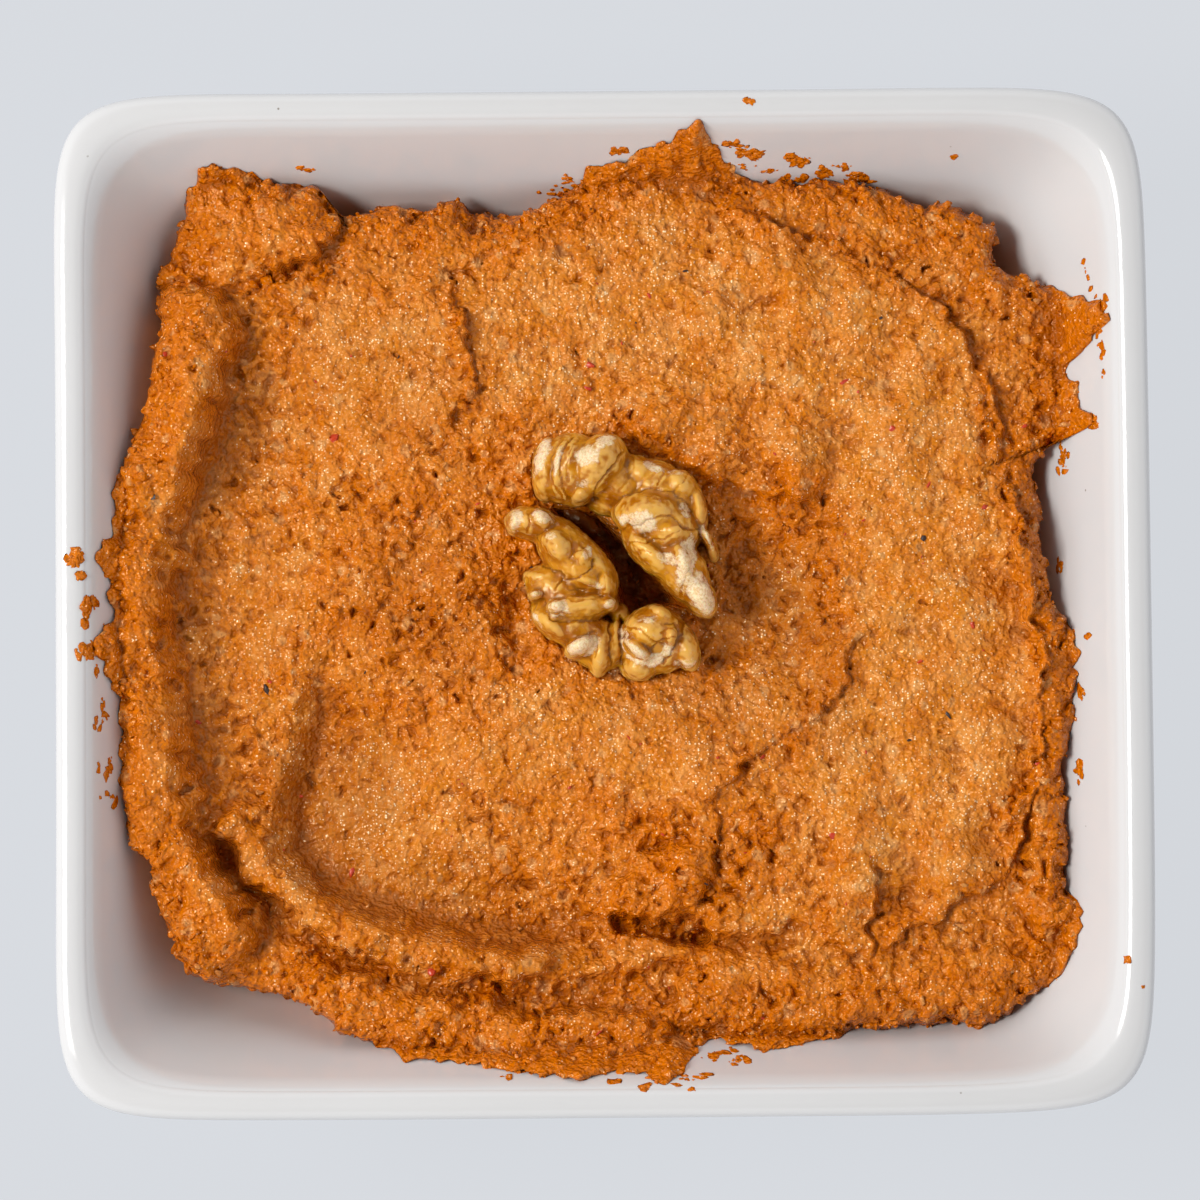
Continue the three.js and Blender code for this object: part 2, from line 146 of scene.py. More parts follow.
# ---------------------------------------------------------------- the dip's form

# Its torn edge, clockwise from the far left corner.
DIP_EDGE = (
    (-49.5, 50.8), (-46.6, 53), (-41, 52.2), (-34, 51.2), (-32.2, 48.3), (-24.3, 48.8),
    (-16.5, 48.7), (-11, 47.9), (-6.3, 48.9), (-1.5, 52.3), (5.1, 54), (9.3, 55.8), (12, 57),
    (14.2, 55.2), (15.4, 53.2), (21.9, 51.3), (32.2, 51), (38.2, 48.7), (43.2, 48.4),
    (47.4, 45.6), (48.2, 41), (52.6, 38.8), (56, 37.4), (60.2, 33.4), (57.6, 30), (56.4, 28),
    (58.4, 21), (55, 20), (52.1, 15.7), (53.2, 12.4), (52.6, 8.2), (53.8, 0.4), (56.4, -3.8),
    (56.7, -11.7), (55.3, -18.9), (55.6, -24.3), (55, -33.3), (56.6, -37), (55.4, -43.1),
    (50.8, -47.7), (45.4, -50.8), (40.6, -50.3), (30.9, -51.3), (20, -52.9), (10.8, -52.6),
    (7.4, -56.6), (2.7, -56), (-5.1, -56), (-15.9, -54.9), (-24.3, -53.5), (-31.6, -51),
    (-36.4, -47.4), (-45.4, -45), (-49.8, -43), (-52.7, -38), (-54.4, -31), (-56.7, -27.2),
    (-57.8, -18.9), (-58, -10.4), (-60.2, -5), (-58.7, -1.2), (-59.4, 5), (-58.2, 10),
    (-58.3, 15.2), (-55, 22), (-54.2, 27.4), (-52.8, 35), (-53.3, 40), (-51, 44.4),
)

# Raised bands and grooves along a path: height, and half the width of crest and foot.
BANDS = (
    ("bank along the left wall", 5.4, 3.0, 6.6, (
        (-49, 34), (-51, 25), (-54.5, 15), (-57, 5), (-57, -5), (-55.2, -14), (-54.5, -24),
        (-51.5, -33), (-47, -39))),
    ("lip round the big scoop", 2.8, 0.8, 3.6, (
        (-44, -26), (-41.5, -31), (-33, -38), (-21, -42), (-9, -43.4))),
    ("groove behind that lip", -1.5, 0.2, 1.9, (
        (-47.2, -28.5), (-43.6, -33.4), (-36.5, -39.4), (-29.5, -43.6))),
    ("trough along the near side", -1.7, 1, 3.2, (
        (-14, -46.2), (-6, -47.6), (1, -46.6), (8, -45))),
    ("roll along the near side", 2.8, 2.4, 4.8, (
        (-33, -47.5), (-24, -50), (-14, -51.5), (-4, -52.6), (5, -53.2))),
    ("strip beyond the slab", 2.2, 2.6, 4.6, (
        (53, 6), (55, -4), (55.5, -14), (55, -26), (54, -36))),
    ("swell along the near side", 1.4, 2, 5, (
        (12, -46.8), (24, -47.4), (36, -47), (46, -45))),
    ("deep slot under the torn lip", -3.4, 0.2, 1.5, (
        (1.2, -38), (4.2, -38.6), (8.6, -38.8), (11.6, -39.2))),
    ("slot running out to the right", -1.7, 0.5, 2.4, (
        (10, -39.2), (14, -40.2), (19, -40.4), (24, -39.4))),
)

# Torn edges: the dip stands higher on the left of the path, by drop at the path and less
# with the distance, which fade sets.
TORN_EDGES = (
    ("broad smooth slab on the right", 1.9, 24, (
        (36, -40), (48, -33.4), (52, -22), (52.2, 0.4), (48.6, 16), (47.6, 25.6), (43, 33),
        (38, 38), (31, 42.4), (18, 47))),
    ("smoothed flake, far left", 1.5, 9, (
        (-16.5, 23.8), (-15, 26.2), (-15, 30.4), (-16.4, 35.2), (-17.7, 38.2))),
    ("small flake left of the kernel", 1, 4, (
        (-22.9, 10.9), (-21.3, 14.2), (-21, 17))),
    ("shelf that the kernel tore", 2.4, 8, (
        (3, 20.6), (10.5, 16.4), (16.5, 14), (23.7, 12.4))),
    ("long tear on the right", 1.3, 7, (
        (11.7, -35), (13.6, -29.7), (13.5, -23.7), (16, -19.5), (22.5, -15.3), (28.3, -10.5),
        (31, -4.5))),
    ("end of the block beside the slot", 2.4, 5, ((31.9, -40), (32.2, -35))),
    ("lip over the slot", 2.2, 4, ((1, -37.4), (7, -37.2), (11.5, -36))),
    ("crack under the far left lump", 3.2, 7, (
        (-42.4, 39.8), (-38.2, 41), (-34, 42.4), (-31, 46.6))),
    ("side of the crater left of the kernel", 1.2, 5, ((-11.8, -6.9), (-12.1, 0.4))),
)

# Scoops: the dip falls away on the left of the path, by depth over the width of the bank,
# and comes back up with the distance, which reach sets.
SCOOPS = (
    ("big spoon mark, near left", 5, 4.6, 20, (
        (-38, -13), (-40.6, -23.6), (-40, -30), (-36.4, -35), (-29, -38.6), (-20.6, -41),
        (-8, -43))),
    ("sweep beside the left bank", 3.8, 9, 20, (
        (-48.4, 27), (-52.4, 14), (-54.2, 0), (-52.6, -20), (-49, -32))),
)

# Mounds, and hollows where the height is under 0: middle, radius along X and Y, height.
MOUNDS = (
    ("far left lump", (-41.8, 46.6), (9, 6.5), 1.8),
    ("flap left of the kernel", (-28.4, 4), (4.6, 4.4), 1.7),
    ("shelf left of the kernel", (-17.5, 3.5), (6, 3), 1.1),
    ("hollow under that shelf", (-14.5, 1), (4.5, 2), -1.5),
    ("torn lump over the slot", (9.5, -31.5), (3.6, 3.4), 1.9),
    ("torn lump at the slot's end", (3, -34.8), (3.4, 2.6), 1.6),
    ("cavity between them", (6, -29.6), (2.2, 1.8), -1.6),
    ("torn lump under the middle", (-4.8, -31), (3.6, 3), 1.5),
    ("cavity beside it", (-9.6, -33), (2.4, 2.2), -1.4),
    ("knob on the left bank", (-56, 6.5), (4.2, 5), 1.2),
    ("knob on the far left bank", (-50.5, 21.5), (4.6, 5), 1.3),
    ("block beside the slot", (26.6, -38), (7, 4), 1.2),
    ("hollow right of the kernel", (19, 2), (12, 14), -4.2),
    ("hollow behind the block", (35, -36.4), (4, 3.6), -1.9),
    ("hollow at the groove", (-45.4, -29.8), (3, 3.4), -1.6),
    ("crater left of the kernel", (-10.4, -1), (4, 8), -1.7),
    ("notch in the far edge", (-14, 47), (3.4, 3), -2.6),
    ("crown of the slab", (40, 0), (26, 34), 0.9),
)

# How crumbly the dip is, from 0 where the spoon smoothed it to 1: middle and radius in the
# photo's frame, and crumbliness. Later ones lie over earlier ones.
CRUMBLY = (
    ("right slab", (900, 620), (150, 290), 0.05),
    ("far middle", (690, 300), (230, 110), 0.15),
    ("far left pad", (385, 370), (100, 90), 0.2),
    ("left sweep", (220, 560), (70, 150), 0.35),
    ("near left basin", (370, 830), (100, 90), 0.05),
    ("near middle", (600, 735), (110, 60), 0.1),
    ("left of the kernel", (450, 560), (90, 120), 0.8),
    ("torn lumps under the middle", (680, 850), (110, 55), 0.95),
    ("tear right of the kernel", (830, 600), (40, 90), 0.7),
    ("shelf behind the kernel", (780, 510), (60, 40), 0.8),
    ("near side", (600, 1010), (420, 55), 0.7),
    ("left bank", (140, 600), (40, 260), 0.4),
    ("far left corner", (240, 240), (90, 90), 0.5),
    ("far edge", (450, 215), (150, 25), 0.6),
    ("right edge", (1060, 420), (30, 220), 0.6),
    ("near right corner", (1010, 930), (60, 70), 0.65),
)

# Patches of painted shade, where the paste is coloured darker and redder: middle and radius in the
# photo's frame, and how much.
PAINTED_SHADE_PATCHES = (
    ((770, 605), (75, 80), 0.36), ((720, 700), (120, 50), 0.2), ((225, 560), (75, 170), 0.1),
    ((330, 800), (75, 110), 0.45), ((430, 890), (110, 50), 0.25), ((430, 590), (80, 110), 0.2),
    ((480, 930), (160, 40), 0.12), ((830, 690), (30, 100), 0.3), ((390, 370), (90, 80), 0.15),
)

# Lumps of the paste with creases between them: size, and height where it is smooth and torn.
# The last number is 1 for round lumps with creases, 0 for even waves and -1 for sharp crests.
LUMPS = (
    (5.2, 0.3, 1.0, 0.4), (3.1, 0.2, 0.95, 0.5), (1.8, 0.12, 0.5, -0.3),
    (1.0, 0.1, 0.28, -0.8), (0.6, 0.08, 0.18, 0.5),
)

# How far points are pushed aside, in lumps of what size, and the seeds along X and Y.
GRAIN_BENDS = ((0.55, 2.1, 51, 53), (0.2, 0.9, 52, 54))
PIT_BEND = (0.5, 0.9, 55, 57)
CRUMBLY_BEND = (3, 9, 71, 72)
PATCH_SHADE_BEND = (2.5, 8, 74, 75)
NUT_BEND = (0.3, 1.1, 92, 93)
KERNEL_BENDS = ((0.22, 1.3, 5, 6), (0.1, 0.5, 8, 9))

# Smears and crumbs on the dish's wall: middle in the photo's frame, half length, half width,
# turn in degrees, and how many crumbs.
WALL_CRUMBS = (
    ((76, 556), 9, 5, 80, 34), ((80, 574), 5, 4, 75, 12), ((92, 600), 9, 5, 60, 30),
    ((84, 620), 8, 3, 80, 12), ((88, 648), 9, 6, 0, 34), ((96, 668), 6, 3, 60, 8),
    ((102, 712), 18, 6, 85, 14), ((106, 770), 16, 7, 70, 16), ((112, 794), 8, 5, 0, 6),
    ((756, 152), 14, 4, -8, 44), ((738, 143), 8, 3, -10, 8), ((802, 158), 13, 4, -10, 40),
    ((828, 170), 7, 4, 0, 16), ((850, 164), 14, 3, -8, 8), ((864, 174), 12, 4, -15, 26),
    ((780, 170), 40, 5, -10, 20), ((622, 147), 9, 3, 0, 14), ((308, 162), 10, 3, -10, 8),
    ((755, 102), 5, 2, 0, 6), ((572, 176), 9, 4, -40, 18), ((560, 182), 12, 5, 0, 8),
    ((1106, 312), 5, 9, 5, 26), ((1104, 345), 4, 16, 5, 10), ((1092, 280), 3, 16, 5, 6),
    ((1106, 379), 2, 4, 0, 4), ((1096, 424), 4, 7, 0, 16), ((1066, 458), 5, 12, 0, 22),
    ((1080, 697), 3, 5, 10, 12), ((1076, 772), 3, 9, 0, 14), ((1062, 566), 6, 12, 0, 6),
    ((1088, 640), 2, 3, 0, 2), ((716, 1052), 16, 3, 12, 22), ((735, 1058), 12, 5, 12, 12),
    ((690, 1078), 18, 4, 15, 12), ((612, 1082), 7, 3, 0, 6), ((640, 1090), 8, 3, 0, 6),
    ((688, 1091), 2, 1, 0, 4), ((1122, 967), 2, 2, 0, 4), ((1137, 993), 2, 1, 0, 2),
    ((520, 1072), 26, 4, 12, 12), ((960, 158), 2, 2, 0, 2),
)

# Red pepper and dark specks in the dip: place in the photo's frame, and length.
PEPPER = (
    ((893, 430), 1.6), ((985, 510), 1.3), ((972, 627), 1.5), ((590, 385), 1.4), ((333, 432), 2),
    ((170, 352), 1.6), ((830, 836), 1.4), ((762, 756), 1.9), ((268, 676), 1.1), ((196, 716), 1.2),
    ((348, 868), 1.9), ((430, 966), 2), ((918, 664), 1.2), ((296, 790), 1), ((628, 736), 1),
    ((660, 832), 1.1), ((1035, 766), 1.2), ((758, 1016), 1.3), ((596, 1028), 1.2),
    ((592, 362), 2.2), ((846, 382), 1.4), ((930, 486), 1), ((1026, 428), 1.2), ((652, 292), 1.1),
)
SPECKS = (((158, 495), 1.3), ((264, 684), 1.7), ((923, 539), 1.2), ((946, 716), 1.4),
          ((688, 268), 0.9), ((908, 741), 0.6), ((400, 352), 0.8), ((884, 318), 0.7))

# ---------------------------------------------------------------- the kernel's form

# Bulges of its two lobes and of what joins them: middle in the photo's frame, half length,
# half width, turn in degrees, height over the dip.
KERNEL_BULGES = (
    # the two lobes' bodies, under their bulges
    (572, 467, 38, 36, 60, 7.6), (622, 484, 36, 24, -10, 6.2), (664, 492, 46, 30, -35, 6.8),
    (668, 528, 36, 32, -40, 8.2), (680, 566, 44, 25, -56, 7.8), (532, 521, 28, 17, -12, 6.6),
    (572, 556, 54, 26, -52, 7.2), (564, 592, 44, 26, -28, 5.6), (570, 622, 44, 24, -28, 5.2),
    (596, 642, 32, 26, -40, 4.4), (656, 642, 40, 32, 0, 5.2), (655, 628, 30, 24, 0, 6.6),
    # far lobe, from its left end to its tail
    (548, 467, 34, 16, 86, 6.6), (559, 467, 33, 8, 84, 7.6), (571, 459, 27, 9, 74, 8.0),
    (600, 464, 36, 27, 54, 9.2), (582, 493, 15, 11, 30, 7.4), (619, 479, 24, 11, 52, 6.6),
    (606, 502, 20, 11, -15, 3.8), (641, 474, 29, 19, -32, 6.2), (680, 486, 22, 18, -35, 7.2),
    (700, 508, 25, 9, -80, 6.6), (650, 514, 38, 25, -3, 9.4), (675, 533, 23, 13, -12, 8.5),
    (652, 555, 40, 15, -43, 8.0), (683, 563, 26, 12, -68, 8.9), (698, 592, 30, 16, -62, 7.0),
    (708, 538, 14, 5, -65, 6.2), (714, 549, 14, 6, -80, 4.2),
    # near lobe, from its left end round to its right
    (516, 520, 14, 9, 82, 6.4), (543, 520, 16, 13, -40, 7.6), (560, 547, 25, 18, -52, 8.5),
    (591, 556, 42, 14, -49, 6.6), (583, 559, 15, 11, -60, 8.7), (606, 584, 20, 12, -80, 6.6),
    (587, 581, 17, 7, -8, 7.3), (542, 576, 20, 10, -8, 4.8), (536, 594, 9, 6, 0, 6.5),
    (580, 606, 35, 14, 4, 7.7), (557, 607, 12, 9, 0, 8.3), (608, 604, 11, 9, 0, 7.3),
    (552, 624, 26, 12, -36, 5.6), (580, 645, 19, 12, 28, 6.4), (600, 652, 25, 12, 82, 5.0),
    (616, 641, 25, 6, 88, 3.9), (650, 631, 28, 22, -8, 7.3), (637, 650, 20, 9, -42, 7.3),
    (661, 614, 17, 9, -25, 6.7), (671, 637, 9, 13, 0, 7.6), (639, 667, 19, 14, 0, 4.6),
    (685, 646, 27, 15, -72, 5.4), (618, 610, 14, 10, -20, 2.2),
    # low in the gap
    (582, 516, 22, 9, -35, -1.5),
)

# Outline of the gap between the lobes, where the dip was pushed down.
LOBE_GAP = (
    (548, 500), (600, 506), (640, 548), (690, 605), (664, 606), (628, 618), (618, 600),
    (606, 552), (572, 530),
)

# Pale scuffed patches on the kernel's crests: middle, radii, turn, and how pale.
SCUFFS = (
    (541, 455, 22, 8, 65, 1), (559, 461, 16, 4, 76, 0.9), (589, 457, 12, 11, 30, 1),
    (607, 442, 12, 7, 30, 0.9), (584, 484, 8, 4, 20, 0.5), (655, 467, 11, 5, -28, 0.85),
    (677, 472, 9, 4, 15, 0.5), (644, 524, 14, 10, -5, 1.1), (624, 521, 6, 5, 0, 0.8),
    (686, 511, 5, 9, 15, 0.6), (687, 564, 27, 10, 78, 1), (668, 560, 12, 6, -20, 0.7),
    (702, 596, 25, 14, -62, 0.9), (708, 538, 13, 5, -65, 1), (516, 519, 12, 7, 82, 0.9),
    (545, 514, 12, 9, -25, 1), (552, 537, 6, 5, 0, 0.6), (588, 553, 5, 9, -15, 0.7),
    (558, 608, 12, 8, 0, 0.85), (611, 604, 7, 4, 35, 0.8), (536, 594, 7, 5, 0, 0.7),
    (535, 620, 17, 4, -61, 0.85), (583, 646, 17, 10, 26, 1.1), (625, 640, 14, 5, -78, 0.9),
    (636, 655, 13, 7, -38, 1.1), (654, 661, 12, 6, 12, 1), (668, 651, 8, 5, 50, 0.8),
    (648, 621, 10, 4, 5, 0.5), (684, 665, 11, 6, 5, 0.6), (597, 586, 9, 3, -10, 0.6),
)

# Brown seams and folds of the skin, as paths in the photo's frame, and how deep.
SEAMS = (
    (1, ((575, 436), (565, 449), (562, 467), (564, 489), (572, 503))),
    (0.6, ((563, 438), (553, 456), (551, 474), (558, 489), (566, 501))),
    (0.5, ((582, 437), (572, 452), (568, 468), (570, 482))),
    (1, ((631, 437), (626, 452), (612, 472), (598, 487), (593, 499))),
    (0.9, ((616, 503), (624, 497), (638, 493), (654, 489), (674, 494), (691, 506))),
    (0.7, ((665, 470), (664, 480), (659, 486))),
    (0.5, ((642, 487), (644, 481), (654, 477), (664, 469))),
    (0.5, ((634, 452), (636, 468), (628, 482), (620, 492))),
    (0.6, ((674, 494), (684, 484), (690, 472))),
    (0.9, ((616, 533), (628, 529), (640, 528), (659, 520), (674, 519), (684, 531), (702, 530))),
    (0.7, ((619, 546), (632, 543), (646, 544), (664, 541), (681, 534))),
    (0.5, ((632, 543), (640, 552), (652, 556))),
    (0.8, ((695, 561), (686, 577), (681, 596))),
    (0.6, ((690, 574), (700, 582), (710, 588))),
    (0.8, ((699, 533), (706, 549), (712, 562))),
    (0.7, ((529, 509), (531, 520), (528, 532))),
    (0.8, ((538, 537), (541, 549), (544, 560))),
    (0.6, ((538, 534), (549, 530), (558, 524))),
    (1, ((564, 580), (575, 580), (586, 574), (592, 569), (594, 560))),
    (0.6, ((570, 560), (577, 552), (586, 548))),
    (1, ((544, 565), (562, 573), (565, 577), (558, 585), (556, 590))),
    (0.6, ((566, 584), (571, 591), (581, 590), (595, 590), (605, 591), (606, 579))),
    (1, ((528, 601), (544, 600), (546, 609), (552, 619), (569, 623), (592, 621), (609, 614))),
    (0.5, ((560, 598), (576, 602), (592, 600), (606, 595))),
    (0.8, ((562, 647), (575, 638), (595, 631), (598, 646), (595, 657))),
    (1, ((609, 618), (611, 634), (609, 649), (611, 671))),
    (1, ((621, 615), (619, 634), (621, 654), (622, 672))),
    (0.8, ((624, 626), (638, 631), (652, 643), (664, 647))),
    (0.8, ((652, 649), (664, 640), (679, 640), (676, 624), (664, 626))),
    (0.5, ((660, 634), (668, 629), (676, 630))),
    (1, ((678, 612), (683, 622), (682, 634), (674, 649), (664, 664))),
)

# ---------------------------------------------------------------- colours

GLAZE_WHITE = (0.64, 0.633, 0.628)
GLAZE_SHADED = (0.605, 0.597, 0.59)
GLAZE_SPECK = (0.28, 0.25, 0.22)

PASTE_SMOOTHED = (0.665, 0.205, 0.01)
PASTE_SMOOTHED_PALE = (0.70, 0.265, 0.045)
PASTE_TORN = (0.66, 0.162, 0.0)
PASTE_DEEP_GRAIN = (0.50, 0.11, 0.0)
# painted shade in patches of the paste
PASTE_PAINTED_PATCH_SHADE = (0.34, 0.085, 0.004)
# painted shade in the paste's hollows
PASTE_PAINTED_HOLLOW_SHADE = (0.24, 0.04, 0.0)
PASTE_DARK_FLECK = (0.38, 0.075, 0.0)
# painted glints: tiny near-white flecks in the paste's colour
PASTE_PAINTED_GLINT = (0.98, 0.76, 0.46)
# painted shade in the gap between the kernel's lobes
PASTE_PAINTED_GAP_SHADE = (0.10, 0.02, 0.002)
NUT_BIT = (0.70, 0.36, 0.12)

SKIN_DARK_AMBER = (0.38, 0.112, 0.001)
SKIN_AMBER = (0.60, 0.25, 0.012)
SKIN_VEIN = (0.36, 0.11, 0.004)
SKIN_OLIVE = (0.40, 0.19, 0.001)
SKIN_CREST = (0.77, 0.45, 0.10)
# the next three are painted shade in the folds, deep in the folds and at the foot
SKIN_PAINTED_FOLD_SHADE = (0.32, 0.10, 0.004)
SKIN_PAINTED_DEEP_FOLD_SHADE = (0.14, 0.035, 0.002)
SKIN_PAINTED_FOOT_SHADE = (0.16, 0.035, 0.002)
SKIN_SEAM = (0.22, 0.065, 0.0)
FLESH_TAN = (0.72, 0.47, 0.22)
FLESH_PALE = (0.92, 0.75, 0.50)

PEPPER_DARK_RED = (0.42, 0.022, 0.006)
PEPPER_RED = (0.62, 0.06, 0.012)
BURNT_BLACK = (0.012, 0.007, 0.006)
BURNT_BROWN = (0.06, 0.025, 0.018)

FLOOR_GREY = (0.04, 0.042, 0.046)
FLOOR_PALE_GREY = (0.046, 0.048, 0.052)
FLOOR_GLOW = (0.92, 0.95, 1.0)
FLOOR_GLOW_STRENGTH = 0.69

# ---------------------------------------------------------------- light and camera

SKY_COLOUR = (0.94, 0.96, 1, 1)
# The sky fades with the height of the direction, which is 0 level and 1 right overhead, so
# that no flat glare lies on the dip.
SKY_FADE = {"From Min": 0.62, "From Max": 0.9, "To Min": 1.0, "To Max": 0.05}
WINDOW_TOWARDS = (-0.61, 0.0, 0.79)
WINDOW_DISTANCE = 0.9  # metres
WINDOW_SIZE = 0.3  # metres
WINDOW_POWER = 7.0  # watts
WINDOW_COLOUR = (1, 0.985, 0.96)
CAMERA_SENSOR = 36
CAMERA_DISTANCE = 600  # over the rim
CAMERA_TILT = 3.4  # degrees towards the near side
CAMERA_ROLL = -0.5  # degrees
AIM = (-0.27, 0, DISH_HEIGHT)

# ---------------------------------------------------------------- sums over many points


def smoothstep(value, low, high):
    share = np.clip((value - low) / (high - low), 0, 1)
    return share * share * (3 - 2 * share)


def mix(low, high, share):
    return low + (high - low) * share


def random_in(across, along, seed):
    """A fixed random number from 0 to 1 for every cell of a square lattice."""
    with np.errstate(over="ignore"):
        mixed = across.astype(np.uint32) * np.uint32(374761393)
        mixed = mixed + along.astype(np.uint32) * np.uint32(668265263)
        mixed = mixed + np.uint32((seed * 2246822519) & 0xFFFFFFFF)
        mixed = (mixed ^ (mixed >> np.uint32(13))) * np.uint32(1274126177)
        mixed = (mixed ^ (mixed >> np.uint32(16))) * np.uint32(2246822519)
        mixed = mixed ^ (mixed >> np.uint32(15))
    return mixed / 4294967295.0


def waves(x, y, size, seed):
    """Smooth unevenness from about -1 to 1, in lumps of the given size."""
    u, v = x / size, y / size
    across, along = np.floor(u).astype(np.int64), np.floor(v).astype(np.int64)
    u, v = u - across, v - along

    def corner(right, far):
        turn = random_in(across + right, along + far, seed) * 2 * math.pi
        return np.cos(turn) * (u - right) + np.sin(turn) * (v - far)

    ease_u = u * u * u * (u * (u * 6 - 15) + 10)
    ease_v = v * v * v * (v * (v * 6 - 15) + 10)
    near = mix(corner(0, 0), corner(1, 0), ease_u)
    far = mix(corner(0, 1), corner(1, 1), ease_u)
    return 1.5 * mix(near, far, ease_v)


def rough_waves(x, y, size, seed, octaves=3):
    total = 0
    for octave in range(octaves):
        total = total + waves(x, y, size / 2**octave, seed + octave) / 2**octave
    return total


def bent(x, y, *bends):
    """Points pushed aside a little, so that what follows them is ragged. Each bend has how far,
    in lumps of what size, and the seeds along X and Y."""
    bent_x, bent_y = x, y
    for far, size, seed_x, seed_y in bends:
        bent_x = bent_x + far * waves(x, y, size, seed_x)
        bent_y = bent_y + far * waves(x, y, size, seed_y)
    return bent_x, bent_y


def grains(x, y, size, seed):
    """Distance to the nearest grain's middle, in sizes, and that grain's random number."""
    u, v = x / size, y / size
    across, along = np.floor(u).astype(np.int64), np.floor(v).astype(np.int64)
    nearest = np.full(np.shape(x), 9.0)
    number = np.zeros(np.shape(x))
    for right in (-1, 0, 1):
        for far in (-1, 0, 1):
            column, row = across + right, along + far
            middle_u = column + random_in(column, row, seed)
            middle_v = row + random_in(column, row, seed + 1)
            away = np.hypot(u - middle_u, v - middle_v)
            closer = away < nearest
            nearest = np.where(closer, away, nearest)
            number = np.where(closer, random_in(column, row, seed + 2), number)
    return nearest, number


def beside_path(x, y, path):
    """Distance to a path, positive on the left of the way that it runs, and how far a point
    lies beyond the path's ends. Beyond them the distance is that to the end's own line."""
    nearest = np.full(np.shape(x), 1e9)
    across, beyond = np.zeros(np.shape(x)), np.zeros(np.shape(x))
    last = len(path) - 2
    for part, ((ax, ay), (bx, by)) in enumerate(zip(path, path[1:])):
        length = math.hypot(bx - ax, by - ay)
        ux, uy = (bx - ax) / length, (by - ay) / length
        along = (x - ax) * ux + (y - ay) * uy
        lateral = ux * (y - ay) - uy * (x - ax)
        over = along - np.clip(along, 0, length)
        away = np.hypot(lateral, over)
        past = np.where(over < 0, part == 0, part == last) * np.abs(over)
        closer = away < nearest
        nearest = np.where(closer, away, nearest)
        across = np.where(closer, np.where(past > 0, lateral, np.copysign(away, lateral)), across)
        beyond = np.where(closer, past, beyond)
    return across, beyond


def path_distance(x, y, path):
    across, beyond = beside_path(x, y, path)
    return np.hypot(across, beyond)


def inside(x, y, outline):
    """How far a point lies inside a closed outline, under 0 outside."""
    crossings = np.zeros(np.shape(x), int)
    ring = (*outline, outline[0])
    for (ax, ay), (bx, by) in zip(ring, ring[1:]):
        spans = (ay > y) != (by > y)
        at = ax + (y - ay) / (by - ay if by != ay else 1e-9) * (bx - ax)
        crossings += spans & (x < at)
    return np.where(crossings % 2 == 1, 1, -1) * path_distance(x, y, ring)


def closed_curve(points, steps):
    """A smooth closed curve through the points."""
    points = np.array(points, float)
    curve = []
    count = len(points)
    for i in range(count):
        p = [points[(i + k) % count] for k in (-1, 0, 1, 2)]
        knot = [0.0]
        for a, b in zip(p, p[1:]):
            knot.append(knot[-1] + math.sqrt(np.hypot(*(b - a))))
        for t in np.linspace(knot[1], knot[2], steps, endpoint=False):
            a = [mix(p[k], p[k + 1], (t - knot[k]) / (knot[k + 1] - knot[k])) for k in range(3)]
            b = [mix(a[k], a[k + 1], (t - knot[k]) / (knot[k + 2] - knot[k])) for k in range(2)]
            curve.append(mix(b[0], b[1], (t - knot[1]) / (knot[2] - knot[1])))
    return np.array(curve)


def bezier(a, b, c, d, steps):
    t = np.linspace(0, 1, steps + 1)[:, None]
    a, b, c, d = (np.array(p, float) for p in (a, b, c, d))
    return a * (1 - t) ** 3 + 3 * b * t * (1 - t) ** 2 + 3 * c * t * t * (1 - t) + d * t**3


# ---------------------------------------------------------------- meshes


def get_points(mesh):
    points = np.empty(len(mesh.vertices) * 3, np.float32)
    mesh.vertices.foreach_get("co", points)
    return points.reshape(-1, 3).astype(float)


def set_points(mesh, points):
    mesh.vertices.foreach_set("co", points.astype(np.float32).ravel())
    mesh.update()


def set_value(mesh, name, values):
    """Gives every corner of a mesh a number that its material reads."""
    attribute = mesh.attributes.new(name, "FLOAT", "POINT")
    attribute.data.foreach_set("value", np.asarray(values, np.float32))


def finish_piece(name, mesh, material, slot, *stands_for):
    """Makes a piece of a mesh in metres, and has it ride on the object's one body."""
    mesh.polygons.foreach_set("use_smooth", np.ones(len(mesh.polygons), bool))
    piece = bpy.data.objects.new(name, mesh)
    bpy.context.scene.collection.objects.link(piece)
    mesh.materials.clear()
    mesh.materials.append(material)
    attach(piece, "root")
    if stands_for:
        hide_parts(*stands_for)
    return piece


def bm_to_mesh(bm, name):
    mesh = bpy.data.meshes.new(name)
    bm.to_mesh(mesh)
    bm.free()
    return mesh


# ---------------------------------------------------------------- material nodes


